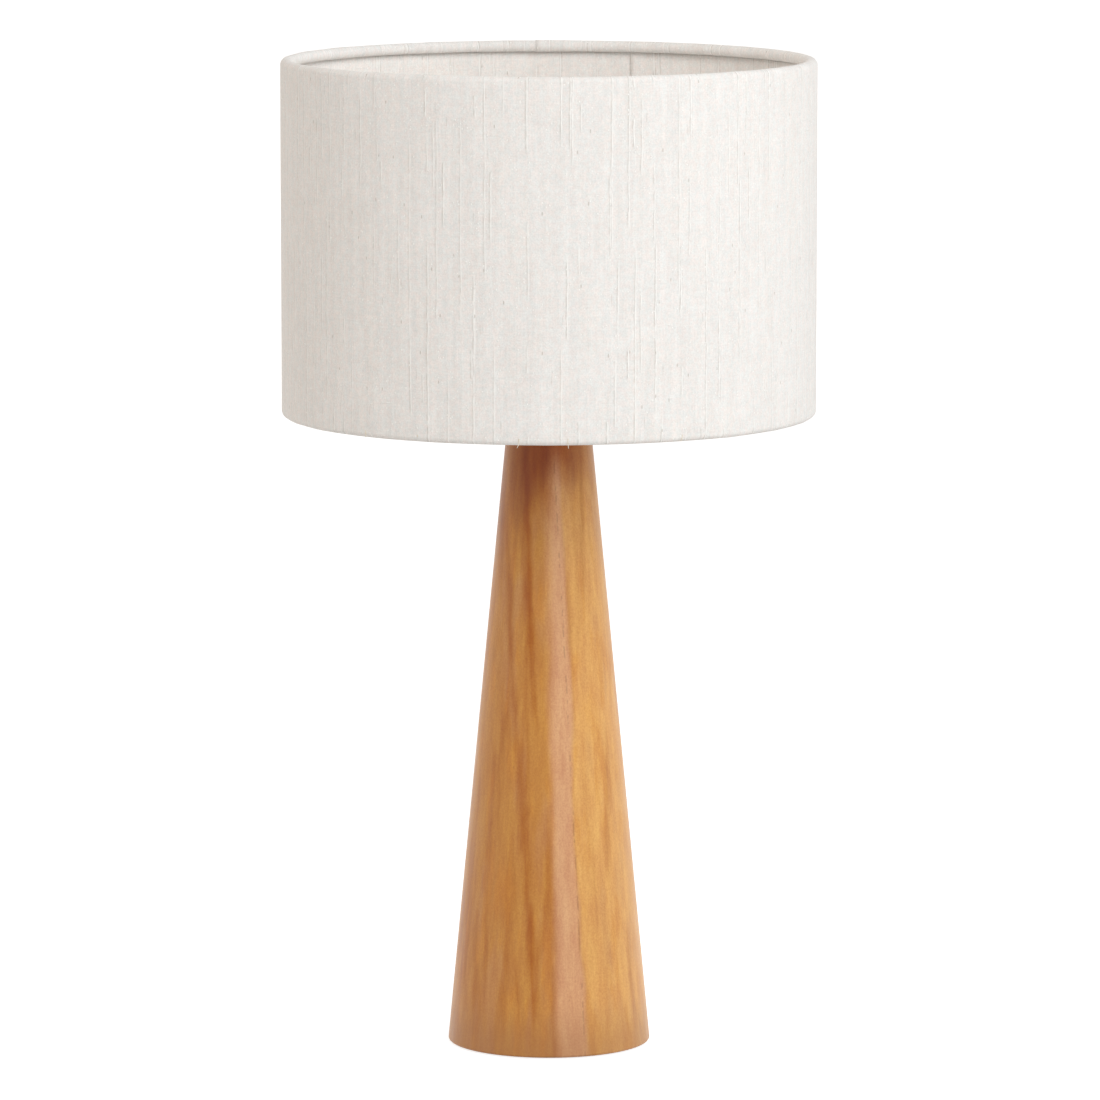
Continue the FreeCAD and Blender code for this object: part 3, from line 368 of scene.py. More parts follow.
# Dark streaks of the column: (sideways, up) in millimetres at both ends, half width, depth
STREAKS = (
    # The first, broad mark at the top front is partly a streak, partly painted shade under the lampshade
    ((-2, 372), (-3, 300), 10.0, 0.60),
    ((-15, 356), (-8, 195), 3.8, 0.90),
    ((-9, 250), (-6, 175), 2.4, 0.40),
    ((-24, 300), (-18, 175), 2.8, 0.55),
    ((-26, 345), (-27, 250), 2.6, 0.35),
    ((-18, 190), (-8, 20), 4.6, 0.65),
    ((-11, 95), (-9, 12), 2.0, 0.55),
    ((-19, 55), (-18, 14), 1.3, 0.50),
    ((-32, 150), (-37, 20), 3.0, 0.40),
    ((-46, 75), (-50, 25), 2.2, 0.45),
    ((17, 350), (20, 260), 2.4, 0.35),
    ((31, 185), (34, 95), 2.8, 0.35),
    ((45, 70), (49, 20), 1.8, 0.40),
    ((-12, 330), (-12, 30), 2.0, 0.25),
)
JOINT_TURN, JOINT_OFFSET = math.radians(32), 10.8 * MM
STREAK_BLUNT, STREAK_FADE = 6 * MM, 22 * MM     # how far a streak's ends reach out and fade in


def stained_wood(name, left, pale, right, streak, gloss):
    """Honey-stained hardwood under satin lacquer, glued from two boards: smoky streaks along the
    grain, a pale pinkish stripe beside the joint that is partly paler wood and partly a painted
    highlight, faint pores, painted shade on the top under the lampshade, and a dull sheen that
    turns greyish white at a grazing look."""
    paint, tree, shader = new_material(
        name, gloss, Specular_IOR_Level=0.3, Coat_Weight=0.2, Coat_Roughness=0.3
    )
    place = add(tree, "TexCoord").outputs["Object"]
    parts = add(tree, "SeparateXYZ", place)
    sideways, inward, high = (parts.outputs[axis] for axis in "XYZ")
    # The grain drifts slowly and wavers a little
    drift = add(tree, "Math", mottle(tree, place, (34, 34, 120)), 0.5, operation="SUBTRACT")
    waver = add(tree, "Math", mottle(tree, place, (10, 10, 34)), 0.5, operation="SUBTRACT")
    moved = add(tree, "Math", waver, 4 * MM, **TIMES)
    moved = add(tree, "Math", drift, 12 * MM, moved, **TIMES_PLUS)

    # Distance from the joint between the boards, which stands askew to the front
    across = add(tree, "Math", inward, math.sin(JOINT_TURN), **TIMES)
    across = add(tree, "Math", sideways, math.cos(JOINT_TURN), across, **TIMES_PLUS)
    joint = add(tree, "Math", across, JOINT_OFFSET, operation="ADD")
    joint = add(tree, "Math", waver, 0.8 * MM, joint, **TIMES_PLUS)
    near_joint = add(tree, "Math", moved, 0.8, joint, **TIMES_PLUS)
    second = add(tree, "MapRange", near_joint, 0.0, 4 * MM, **SMOOTH)
    flared = add(tree, "Math", high, -0.03, near_joint, **TIMES_PLUS)
    stripe = add(
        tree, "Math", add(tree, "MapRange", flared, -17.5 * MM, -11 * MM, **SMOOTH),
        add(tree, "MapRange", near_joint, 3.5 * MM, 0.0, **SMOOTH), **TIMES,
    )

    body = add(tree, "Mix", second, left, right, **COLOURS)
    rosy = mottle(tree, place, (14, 14, 70), 2.0, 0.55, span=(0.46, 0.66, 0.0, 0.4))
    body = add(tree, "Mix", rosy, body, "#C08A5E", **COLOURS)
    smoke = mottle(tree, place, (10, 14, 130), 2.0, 0.55, span=(0.46, 0.70, 0.0, 0.5))
    first_board = add(tree, "MapRange", near_joint, 8 * MM, 0.0, 0.3, 1.0, **SMOOTH)
    smoke = add(tree, "Math", smoke, first_board, **TIMES)
    body = add(tree, "Mix", smoke, body, streak, **COLOURS)
    warm = mottle(tree, place, (8, 8, 40), 2.0, 0.55, span=(0.50, 0.70, 0.0, 0.4))
    body = add(tree, "Mix", warm, body, "#D08A34", **COLOURS)
    # The pale stripe is partly paler wood and partly a painted highlight of the softbox, wider towards the
    # foot
    stripe = add(tree, "Math", stripe, 0.85, **TIMES)
    body = add(tree, "Mix", stripe, body, pale, **COLOURS)

    grain = add(tree, "Math", moved, 0.5, sideways, **TIMES_PLUS)
    ragged = add(tree, "Math", waver, **SIZE_OF)
    for (top_side, top), (low_side, low), half, depth in STREAKS:
        slope = (low_side - top_side) / (low - top)
        line = add(tree, "Math", high, slope, (top_side - slope * top) * MM, **TIMES_PLUS)
        off = add(tree, "Math", grain, line, operation="SUBTRACT")
        off = add(tree, "Math", off, **SIZE_OF)
        off = add(tree, "Math", ragged, half * 2.4 * MM, off, **TIMES_PLUS)
        mark = add(tree, "MapRange", off, half * 1.15 * MM, 0.0, 0.0, depth, **SMOOTH)
        for at, way in ((low * MM, 1), (top * MM, -1)):
            end = add(tree, "MapRange", high, at - way * STREAK_BLUNT, at + way * STREAK_FADE, **SMOOTH)
            mark = add(tree, "Math", mark, end, **TIMES)
        body = add(tree, "Mix", mark, body, streak, **COLOURS)

    # Grain from broad to fine: sizes in millimetres, depth
    for sizes, depth in (
        ((6, 6, 30), 0.05), ((2.6, 2.6, 60), 0.03), ((1.0, 1.0, 24), 0.022), ((0.9, 0.9, 1.1), 0.06)
    ):
        level = mottle(tree, place, sizes, 2.0, 0.6, span=(0.25, 0.75, 1 - depth, 1 + depth))
        warmer = add(tree, "Math", level, level, **TIMES)
        body = add(tree, "Mix", 1.0, body, add(tree, "CombineColor", level, warmer, warmer), **TINT)
    # Pores are drawn twice as wide as real ones, so that they show
    pit = mottle(tree, place, (0.5, 0.5, 5), 1.0, 0.5, span=(0.68, 0.78))
    pores = add(tree, "Math", pit, 0.20, **TIMES)
    body = add(tree, "Mix", pores, body, "#8A4F1E", **COLOURS)
    # The line of glue shows in places
    shown = mottle(tree, place, (3, 3, 5), 2.0, span=(0.46, 0.58))
    glue = add(tree, "Math", joint, **SIZE_OF)
    glue = add(tree, "MapRange", glue, 0.7 * MM, 0.15 * MM, 0.0, 0.35, **SMOOTH)
    glue = add(tree, "Math", glue, shown, **TIMES)
    body = add(tree, "Mix", glue, body, "#8C5A38", **COLOURS)
    # Browner towards the foot. Darker near the top, most at the front: painted shade where the lampshade
    # shadows the column, partly a deeper stain
    toward_foot = add(tree, "MapRange", high, 36 * MM, 4 * MM, 0.0, 0.42, **SMOOTH)
    body = add(tree, "Mix", toward_foot, body, "#9C6B45", **COLOURS)
    leftward = add(tree, "Math", sideways, -1.0, **TIMES)
    leftward = add(tree, "Math", leftward, 0.0, **LARGER)
    shade_and_stain_height = add(tree, "Math", drift, 40 * MM, high, **TIMES_PLUS)
    shade_and_stain_height = add(tree, "Math", leftward, 1.4, shade_and_stain_height, **TIMES_PLUS)
    shade_and_stain_top = add(tree, "MapRange", shade_and_stain_height, 307 * MM, 338 * MM, **SMOOTH)
    # The painted shade is deepest where the column faces straight front or back
    front = add(tree, "Math", sideways, **SIZE_OF)
    front = add(tree, "MapRange", front, 24 * MM, 8 * MM, 0.42, 1.0, **SMOOTH)
    shade_and_stain_top = add(tree, "Math", shade_and_stain_top, front, **TIMES)
    body = add(tree, "Mix", shade_and_stain_top, body, "#C08E5E", **TINT)

    uneven = mottle(tree, place, (9, 9, 30), 3.0, 0.6)
    height = add(tree, "Math", uneven, 0.6, **TIMES)
    height = add(tree, "Math", pit, -0.5, height, **TIMES_PLUS)
    bump = add(tree, "Bump", Height=height, Strength=0.25, Distance=0.12 * MM)
    rough = add(tree, "MapRange", uneven, 0.2, 0.8, gloss - 0.05, gloss + 0.07, **SMOOTH)
    plug(tree, shader.inputs["Base Color"], body)
    plug(tree, shader.inputs["Roughness"], rough)
    plug(tree, shader.inputs["Normal"], bump)
    return paint


def plain_finish(name, colour, second, roughness, grit, relief, sizes=None, **sockets):
    """A finish with a fine uneven tone between two colours and a fine relief.
    Grit is the size of its pattern in millimetres, relief its depth."""
    paint, tree, shader = new_material(name, roughness, **sockets)
    place = add(tree, "TexCoord").outputs["Object"]
    # A coarser unevenness, a dozen grits wide unless its sizes are given
    coarse = mottle(tree, place, sizes or (grit * 12,) * 3, 3.0, 0.6)
    fine = mottle(tree, place, (grit,) * 3, 2.0, 0.6)
    blend = add(tree, "Math", coarse, 0.55, **TIMES)
    blend = add(tree, "Math", fine, 0.45, blend, **TIMES_PLUS)
    tone = add(tree, "Mix", add(tree, "MapRange", blend, 0.3, 0.7, **SMOOTH), colour, second, **COLOURS)
    rough = add(tree, "MapRange", blend, 0.3, 0.7, roughness * 0.88, min(roughness * 1.12, 1.0), **SMOOTH)
    bump = add(tree, "Bump", Height=fine, Strength=0.5, Distance=relief * MM)
    plug(tree, shader.inputs["Base Color"], tone)
    plug(tree, shader.inputs["Roughness"], rough)
    plug(tree, shader.inputs["Normal"], bump)
    return paint


def finish_for(key):
    """The material of a small piece, made once. Each comment says what the finish gives the eye."""
    table = {
        # Injection-moulded thermoplastic: even off-white, soft satin, a trace of mould texture
        "holder": ("Moulded thermoplastic, off-white", "#EDEBE4", "#E6E3DA", 0.38, 0.25, 0.01, None, {}),
        # Powder-coated wire: slightly orange-peeled, semi-gloss
        "frame": ("Epoxy-coated steel, white", "#ECEAE3", "#E3E0D7", 0.34, 0.9, 0.02, None, {}),
        # Zinc plate over steel: cool grey with faint yellow bloom
        "zinc": ("Zinc-plated steel", "#C4C5C2", "#A9ABA8", 0.34, 0.3, 0.01, (4, 4, 4), {"Metallic": 1.0}),
        # Rolled nickel-plated shell of the bulb: brighter, drawn round its axis
        "shell": (
            "Nickel-plated brass, rolled", "#D2D0CA", "#B7B5AF", 0.26, 0.2, 0.005, (6, 6, 1),
            {"Metallic": 1.0},
        ),
        # Plain brass, slightly dulled
        "brass": ("Plain brass", "#D0AC62", "#B48F4A", 0.36, 0.3, 0.01, None, {"Metallic": 1.0}),
        # Tin dome of the tip
        "solder": ("Tinned contact", "#BFC0BE", "#999A98", 0.42, 0.4, 0.03, None, {"Metallic": 1.0}),
        # Black vitrite of the bulb's foot: glassy
        "vitrite": ("Black insulating glass", "#14141A", "#1D1B22", 0.16, 0.8, 0.01, None, {}),
        # Bulb's housing: glossy white plastic
        "housing": ("Gloss white bulb housing", "#F0F0EC", "#EAEAE5", 0.24, 0.5, 0.004, None, {}),
        # Frosted diffuser: milky, satin
        "opal": (
            "Opal polycarbonate", "#F2F1EA", "#EDEBE2", 0.42, 0.3, 0.006, None,
            {"Subsurface_Weight": 0.2, "Subsurface_Scale": 0.004},
        ),
        # Urea core: cream, dull
        "core": ("Moulded urea, cream", "#DDD3BC", "#D2C6AB", 0.55, 0.3, 0.01, None, {}),
        # Laminating film: smooth, milky
        "film": ("Laminating film", "#F0EEE6", "#E9E6DC", 0.40, 1.0, 0.005, None, {}),
        # Nylon bush: black, fine mould texture
        "nylon": ("Moulded nylon, black", "#1B1B1C", "#242425", 0.48, 0.2, 0.02, None, {}),
        # Raw hardboard: brown, fibrous, dull
        "hardboard": ("Raw hardboard", "#7A5A3C", "#8F6C4A", 0.85, 0.7, 0.08, (3, 14, 3), {}),
        # Pressed wool felt: fibres every way, no gloss
        "felt": (
            "Pressed felt, dark brown", "#2F2A26", "#413A34", 0.97, 0.55, 0.25, (2.5, 2.5, 2.5),
            {"Sheen_Weight": 0.3, "Specular_IOR_Level": 0.1},
        ),
        # Spun linen yarn of a loose end
        "yarn": ("Linen yarn", "#F1ECDF", "#D8CDB6", 0.9, 0.2, 0.05, (0.5, 0.5, 3), {"Sheen_Weight": 0.2}),
    }
    name, colour, second, roughness, grit, relief, sizes, sockets = table[key]
    return bpy.data.materials.get(name) or plain_finish(
        name, colour, second, roughness, grit, relief, sizes, **sockets
    )


def board_finish():
    """White solder mask with yellow phosphor on the chips, which stand above the board's face."""
    paint, tree, shader = new_material("Circuit board, white mask", 0.45)
    place = add(tree, "TexCoord").outputs["Object"]
    parts = add(tree, "SeparateXYZ", place)
    chips = Span("bulb_led_board").high - 0.5 * MM
    chip = add(tree, "Math", parts.outputs["Z"], chips, operation="GREATER_THAN")
    specks = mottle(tree, place, (1.5, 1.5, 1.5), 2.0)
    mask = add(tree, "Mix", specks, "#EDEDE8", "#DFE0DA", **COLOURS)
    phosphor = add(tree, "Mix", specks, "#E8C84A", "#D8B43A", **COLOURS)
    plug(tree, shader.inputs["Base Color"], add(tree, "Mix", chip, mask, phosphor, **COLOURS))
    return paint


def paint_nodes(paint, *nodes):
    """Gives CAD pieces their finish."""
    for node in nodes:
        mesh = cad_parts[node].data
        mesh.materials.clear()
        mesh.materials.append(paint)


# Shapes

def place_piece(name, mesh, paint, body, replaces=(), smooth=30):
    """Makes a piece from a bmesh, smooth but for edges sharper than the angle, and lets it ride."""
    for face in mesh.faces:
        face.smooth = True
    limit = math.radians(smooth)
    for edge in mesh.edges:
        if len(edge.link_faces) == 2 and edge.calc_face_angle(0) > limit:
            edge.smooth = False
    data = bpy.data.meshes.new(name)
    mesh.to_mesh(data)
    mesh.free()
    data.materials.append(paint)
    piece = bpy.data.objects.new(name, data)
    bpy.context.scene.collection.objects.link(piece)
    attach(piece, body)
    if replaces:
        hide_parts(*replaces)
    return piece


def screw_surface(mesh, tooth, pitch, low, high, steps):
    """A thread from one tooth of (radius, share of the pitch) points, cut flat at both ends.
    The outline climbs one pitch in a full turn, so its ends meet on themselves."""
    count = math.ceil((high - low) / pitch) + 2
    start = low - 1.5 * pitch
    points = [(radius, start + (turn + share) * pitch) for turn in range(count) for radius, share in tooth]
    corners = [mesh.verts.new((radius, 0, height)) for radius, height in points]
    edges = [mesh.edges.new(pair) for pair in zip(corners, corners[1:])]
    bmesh.ops.spin(
        mesh, geom=corners + edges, cent=(0, 0, 0), axis=AXIS, angle=math.tau,
        dvec=(0, 0, pitch / steps), steps=steps, use_merge=False,
    )
    bmesh.ops.remove_doubles(mesh, verts=mesh.verts[:], dist=1e-6)
    rims = []
    for height, outer in ((low, False), (high, True)):
        cut = bmesh.ops.bisect_plane(
            mesh, geom=mesh.verts[:] + mesh.edges[:] + mesh.faces[:], dist=1e-7,
            plane_co=(0, 0, height), plane_no=AXIS, clear_outer=outer, clear_inner=not outer,
        )
        rims.append([edge for edge in cut["geom_cut"] if isinstance(edge, bmesh.types.BMEdge)])
    return rims


def carry(mesh, rim, steps):
    """Extrudes a rim of edges through (radius, height) points, each kept round the lamp's axis."""
    for radius, height in steps:
        made = bmesh.ops.extrude_edge_only(mesh, edges=rim)["geom"]
        verts = {part for part in made if isinstance(part, bmesh.types.BMVert)}
        rim = [
            part for part in made
            if isinstance(part, bmesh.types.BMEdge) and all(end in verts for end in part.verts)
        ]
        for vert in verts:
            out = Vector((vert.co.x, vert.co.y, 0)).normalized() * radius
            vert.co = (out.x, out.y, height)
    return rim


def eased(low, high, value):
    """Smooth step from 0 at low to 1 at high."""
    share = min(max((value - low) / (high - low), 0), 1)
    return share * share * (3 - 2 * share)


# The shade's cloth

WALL_ROWS, BEND_ROWS, ROLL_ROWS = 12, 7, 20     # rows of faces in each half of the cover
LINING_ROWS = 16
HEM_ROLL = math.radians(225)                    # how far a hem turns round its wire
LINING_SEAM = math.radians(71.6)                # where the lining's free edge stands
RIPPLE, LINING_RIPPLE = 0.10 * MM, 0.12 * MM    # depth of the cloth's unevenness
SLIT = 2.15 * MM                                # half the width of the notch round an arm
SLIT_END = 4.2 * MM                             # from the start of the roll to the notch's end
THREAD_ENDS = (
    # (degrees round the shade, length in millimetres)
    (-96.2, 5.3), (-86.0, 5.4), (-61.0, 3.8), (-118.5, 3.6),
    (18.0, 4.2), (71.0, 5.0), (164.0, 4.3), (228.0, 3.9),
)
THREAD_STEPS = 7


def hem_section(thickness):
    """Section of the cover's cloth: how far half of it reaches from half height, and where a
    point at a distance lies, with its outward direction."""
    skin = thickness / 2
    wall_radius = SHADE.radius - skin
    bend = (SHADE.high - TOP_WIRE.middle) - skin
    corner = wall_radius - bend
    wall = TOP_WIRE.middle - SHADE.middle
    quarter, flat, roll = bend * math.pi / 2, corner - WIRE_CIRCLE, bend * HEM_ROLL

    def at(distance):
        side, rest = (1 if distance >= 0 else -1), abs(distance)
        if rest <= wall:
            return Vector((wall_radius, 0, SHADE.middle + side * rest)), Vector((1, 0, 0))
        rest -= wall
        height = SHADE.middle + side * wall
        if rest <= quarter:
            out = Vector((math.cos(rest / bend), 0, side * math.sin(rest / bend)))
            return Vector((corner, 0, height)) + out * bend, out
        rest -= quarter
        if rest <= flat:
            return Vector((corner - rest, 0, height + side * bend)), Vector((0, 0, side))
        angle = math.pi / 2 + (rest - flat) / bend
        out = Vector((math.cos(angle), 0, side * math.sin(angle)))
        return Vector((WIRE_CIRCLE, 0, height)) + out * bend, out

    roll_start = wall + quarter + flat
    stations = [wall * step / WALL_ROWS for step in range(WALL_ROWS + 1)]
    stations += [wall + quarter * step / BEND_ROWS for step in range(1, BEND_ROWS + 1)]
    stations += [roll_start]
    stations += [roll_start + roll * step / ROLL_ROWS for step in range(1, ROLL_ROWS + 1)]
    return at, stations, roll_start


def cut_flat(mesh, width, stations, rounds):
    """Cuts a flat cloth: across the width in equal steps, along it at the stations from its middle."""
    rows = sorted({-s for s in stations} | set(stations))
    bmesh.ops.create_grid(mesh, x_segments=rounds, y_segments=len(rows) - 1, size=0.5)
    for vert in mesh.verts:
        row = round((vert.co.y + 0.5) * (len(rows) - 1))
        vert.co = ((vert.co.x + 0.5) * width, rows[row], 0)
    return rows[-1] - rows[0]


def keep_flat_map(mesh):
    """Keeps the flat cloth's own measures, in metres, as its map."""
    layer = mesh.loops.layers.uv.new("cloth")
    for face in mesh.faces:
        for loop in face.loops:
            loop[layer].uv = loop.vert.co.xy


def thicken(cloth, thickness):
    """Gives a cloth its thickness, half to each side."""
    wall = cloth.modifiers.new("cloth", "SOLIDIFY")
    wall.thickness, wall.offset, wall.use_even_offset = thickness, 0.0, True


class LAMP_OT_linen_cover(bpy.types.Operator):
    """Cuts the linen flat, slits it for the arms, wraps the drum and rolls the hems round its wires"""

    bl_idname = "lamp.linen_cover"
    bl_label = "Linen cover"
    bl_options = {"REGISTER", "UNDO"}

    def execute(self, context):
        settings = context.scene.lamp_linen
        thickness = settings.thickness
        at, stations, hem_start = hem_section(thickness)
        around = math.tau * (SHADE.radius - thickness / 2)
        width = around + settings.lap
        first = math.pi / 2 - settings.lap / around * math.tau / 2
        mesh = bmesh.new()
        length = cut_flat(mesh, width, stations, settings.rounds)

        wire_side = -(hem_start + SLIT_END)
        for angle in ARM_ANGLES:
            middle = (math.radians(angle) - first) % math.tau / math.tau * around
            for edge in (middle - SLIT, middle + SLIT):
                near = [face for face in mesh.faces if abs(face.calc_center_median().x - edge) < 6 * MM]
                parts = dict.fromkeys(part for face in near for part in (face, *face.edges, *face.verts))
                bmesh.ops.bisect_plane(
                    mesh, geom=list(parts), dist=1e-6, plane_co=(edge, 0, 0), plane_no=(1, 0, 0)
                )
            spots = [(face, face.calc_center_median()) for face in mesh.faces]
            gone = [face for face, spot in spots if abs(spot.x - middle) < SLIT and spot.y < wire_side]
            bmesh.ops.delete(mesh, geom=gone, context="FACES")
        keep_flat_map(mesh)

        climb = 0.8 * thickness
        for vert in mesh.verts:
            across, along = vert.co.x, vert.co.y
            spot, out = at(along)
            ripple = noise.noise(Vector((across * 55, along * 40, 1.7)))
            ripple += 0.5 * noise.noise(Vector((across * 130, along * 90, 5.1)))
            hem = eased(hem_start - 12 * MM, hem_start, abs(along))
            lift = RIPPLE * max(ripple, 0) * (1 + 1.4 * hem)
            lift += climb * (1 - 0.6 * hem) * eased(around - 8 * MM, around - 1 * MM, across)
            spot = spot + out * lift
            turn = Matrix.Rotation(first + across / around * math.tau, 3, "Z")
            vert.co = turn @ spot
        paint = linen("Slub linen, cover", settings.colour, settings.thread)
        cover = place_piece("linen_cover", mesh, paint, "shade", ["shade_cover"], 60)
        thicken(cover, thickness)
        return {"FINISHED"}


class LAMP_OT_linen_lining(bpy.types.Operator):
    """Lines the drum with linen, lapped at the back"""

    bl_idname = "lamp.linen_lining"
    bl_label = "Linen lining"
    bl_options = {"REGISTER", "UNDO"}

    def execute(self, context):
        settings = context.scene.lamp_linen
        thickness, lap = 0.3 * MM, 10 * MM
        radius = LINING.radius - thickness / 2
        around = math.tau * radius
        width, half = around + lap, (LINING.high - LINING.low) / 2
        first = LINING_SEAM - lap / radius
        mesh = bmesh.new()
        rows = [half * step / LINING_ROWS for step in range(LINING_ROWS + 1)]
        length = cut_flat(mesh, width, rows, settings.rounds)
        keep_flat_map(mesh)
        for vert in mesh.verts:
            across, along = vert.co.x, vert.co.y
            ripple = noise.noise(Vector((across * 40, along * 30, 9.3)))
            inward = LINING_RIPPLE * max(ripple, 0)
            inward += (thickness + 0.05 * MM) * eased(around - 7 * MM, around - 1 * MM, across)
            turn = Matrix.Rotation(first + across / around * math.tau, 3, "Z")
            vert.co = turn @ Vector((radius - inward, 0, LINING.middle + along))
        # The lining's lighter colour is partly painted light, standing in for light through the cloth
        paint = linen("Slub linen, lining", settings.lining, settings.thread)
        lining = place_piece("linen_lining", mesh, paint, "shade", ["shade_lining"], 60)
        thicken(lining, thickness)
        return {"FINISHED"}


class LAMP_OT_thread_ends(bpy.types.Operator):
    """Adds the few loose ends of yarn that stand below the lower hem"""

    bl_idname = "lamp.thread_ends"
    bl_label = "Loose thread ends"
    bl_options = {"REGISTER", "UNDO"}

    def execute(self, context):
        chance = random.Random(7)
        mesh = bmesh.new()
        for degrees, reach in THREAD_ENDS:
            out = Matrix.Rotation(math.radians(degrees), 3, "Z") @ Vector((1, 0, 0))
            ring = bmesh.ops.create_circle(mesh, cap_ends=True, segments=6, radius=0.3 * MM)["verts"]
            root = out * (SHADE.radius + 0.02 * MM) + AXIS * (LOW_WIRE.middle + 0.8 * MM)
            bmesh.ops.translate(mesh, verts=ring, vec=root)
            face = ring[0].link_faces[0]
            way = Vector((0, 0, -1))
            for step in range(THREAD_STEPS):
                bend = Vector((chance.uniform(-0.2, 0.2), chance.uniform(-0.2, 0.2), 0)) - out * 0.05
                way = (way + bend).normalized()
                face = bmesh.ops.extrude_discrete_faces(mesh, faces=[face])["faces"][0]
                bmesh.ops.translate(mesh, verts=face.verts[:], vec=way * (reach * MM / THREAD_STEPS))
                centre = Matrix.Translation(-face.calc_center_median())
                bmesh.ops.scale(mesh, verts=face.verts[:], vec=(0.93, 0.93, 1), space=centre)
        bmesh.ops.recalc_face_normals(mesh, faces=mesh.faces[:])
        place_piece("thread_ends", mesh, finish_for("yarn"), "shade", smooth=80)
        return {"FINISHED"}


# Frame, holder, bulb

WELD_BEAD = (1.9 * MM, 0.75 * MM, 0.7 * MM)     # half length, width and height
WELD_ASIDE = 1.435 * MM                         # from the middle of an arm
THREAD_FACETS = 96
# The lampholder's sleeve: radii of its bore, socket wall, cavity and the neck in the cap, and the
# heights of the socket wall's lower end and the underside of the rim
SOCKET_BORE, SOCKET_OUTSIDE, SLEEVE_INSIDE, SLEEVE_NECK = 13.7 * MM, 15.3 * MM, 16.2 * MM, 17.7 * MM
SOCKET_FOOT, RIM_UNDERSIDE = 387.1 * MM, 416.0 * MM
RIM_EDGE = 0.8 * MM                             # radius of the rim's eased edge
BULB_WALL, BULB_TURN_IN = 0.5 * MM, 2.1 * MM    # wall and turned-in foot of the bulb's shell


def weld_ends(mesh, ends, apart):
    """Joins the two ends of a section that meet on one circle, in the same order in each run."""
    rims = sorted({vert for edge in ends for vert in edge.verts}, key=lambda vert: vert.co[:])
    bmesh.ops.remove_doubles(mesh, verts=rims, dist=apart)
    bmesh.ops.recalc_face_normals(mesh, faces=mesh.faces[:])


class LAMP_OT_shade_frame(bpy.types.Operator):
    """Coats the wires and the fitter plate, and lays the weld beads of the arms"""

    bl_idname = "lamp.shade_frame"
    bl_label = "Shade frame"
    bl_options = {"REGISTER", "UNDO"}

    def execute(self, context):
        paint_nodes(finish_for("frame"), "top_frame_ring", "bottom_frame_ring", "fitter_plate", "fitter_arms")
        paint_nodes(finish_for("film"), "shade_panel")
        mesh = bmesh.new()
        for angle in ARM_ANGLES:
            for reach, side in ((32.2 * MM, 1), (32.2 * MM, -1), (35.2 * MM, 1), (35.2 * MM, -1)):
                bead = bmesh.ops.create_icosphere(mesh, subdivisions=3, radius=1.0)["verts"]
                bmesh.ops.scale(mesh, verts=bead, vec=WELD_BEAD)
                for vert in bead:
                    vert.co *= 1 + 0.12 * noise.noise(vert.co * 900 + Vector((angle, reach * 1000, side)))
                bmesh.ops.translate(mesh, verts=bead, vec=(reach, side * WELD_ASIDE, PLATE.low - 0.55 * MM))
                turn = Matrix.Rotation(math.radians(angle), 3, "Z")
                bmesh.ops.rotate(mesh, verts=bead, cent=(0, 0, 0), matrix=turn)
        place_piece("frame_welds", mesh, finish_for("frame"), "shade", smooth=180)
        return {"FINISHED"}


class LAMP_OT_lampholder(bpy.types.Operator):
    """Cuts the coarse ring thread on the lampholder's sleeve and finishes the holder's pieces"""

    bl_idname = "lamp.lampholder"
    bl_label = "Lampholder"
    bl_options = {"REGISTER", "UNDO"}

    def execute(self, context):
        settings = context.scene.lamp_holder
        crest, root = SKIRT.radius, SKIRT.radius - settings.ring_depth
        tooth = ((root, 0.0), (root, 0.22), (crest, 0.42), (crest, 0.70), (root, 0.90))
        seam = SKIRT_CAP.high + 0.1 * MM
        rim = SKIRT.high
        mesh = bmesh.new()
        low_rim, high_rim = screw_surface(
            mesh, tooth, settings.ring_pitch, seam + 1.2 * MM, rim - 2.0 * MM, THREAD_FACETS,
        )
        over = [(root, rim - 1.6 * MM), (root, rim - RIM_EDGE)]
        for angle in map(math.radians, (22, 45, 67, 90)):
            over.append(
                (root - RIM_EDGE + RIM_EDGE * math.cos(angle), rim - RIM_EDGE + RIM_EDGE * math.sin(angle))
            )
        over += [
            (SOCKET_BORE + 1.0 * MM, rim), (SOCKET_BORE, rim - 1.0 * MM), (SOCKET_BORE, SOCKET_FOOT),
            (SOCKET_OUTSIDE, SOCKET_FOOT), (SOCKET_OUTSIDE, RIM_UNDERSIDE), (SLEEVE_INSIDE, RIM_UNDERSIDE),
            (SLEEVE_INSIDE, SKIRT.low), (SLEEVE_NECK, SKIRT.low), (SLEEVE_NECK, seam),
        ]
        under = [(root, seam + 0.6 * MM), (crest, seam + 0.3 * MM), (crest, seam), (SLEEVE_NECK, seam)]
        weld_ends(mesh, carry(mesh, high_rim, over) + carry(mesh, low_rim, under), 0.01 * MM)
        place_piece(
            "holder_sleeve", mesh, finish_for("holder"), "stand", ["holder_skirt"], 40
        )
        paint_nodes(finish_for("holder"), "holder_cap", "lower_ring", "upper_ring")
        paint_nodes(finish_for("core"), "holder_core")
        paint_nodes(finish_for("brass"), "terminal_blocks", "centre_contact", "side_contact")
        paint_nodes(finish_for("zinc"), "terminal_screws", "holder_lock_screw")
        return {"FINISHED"}


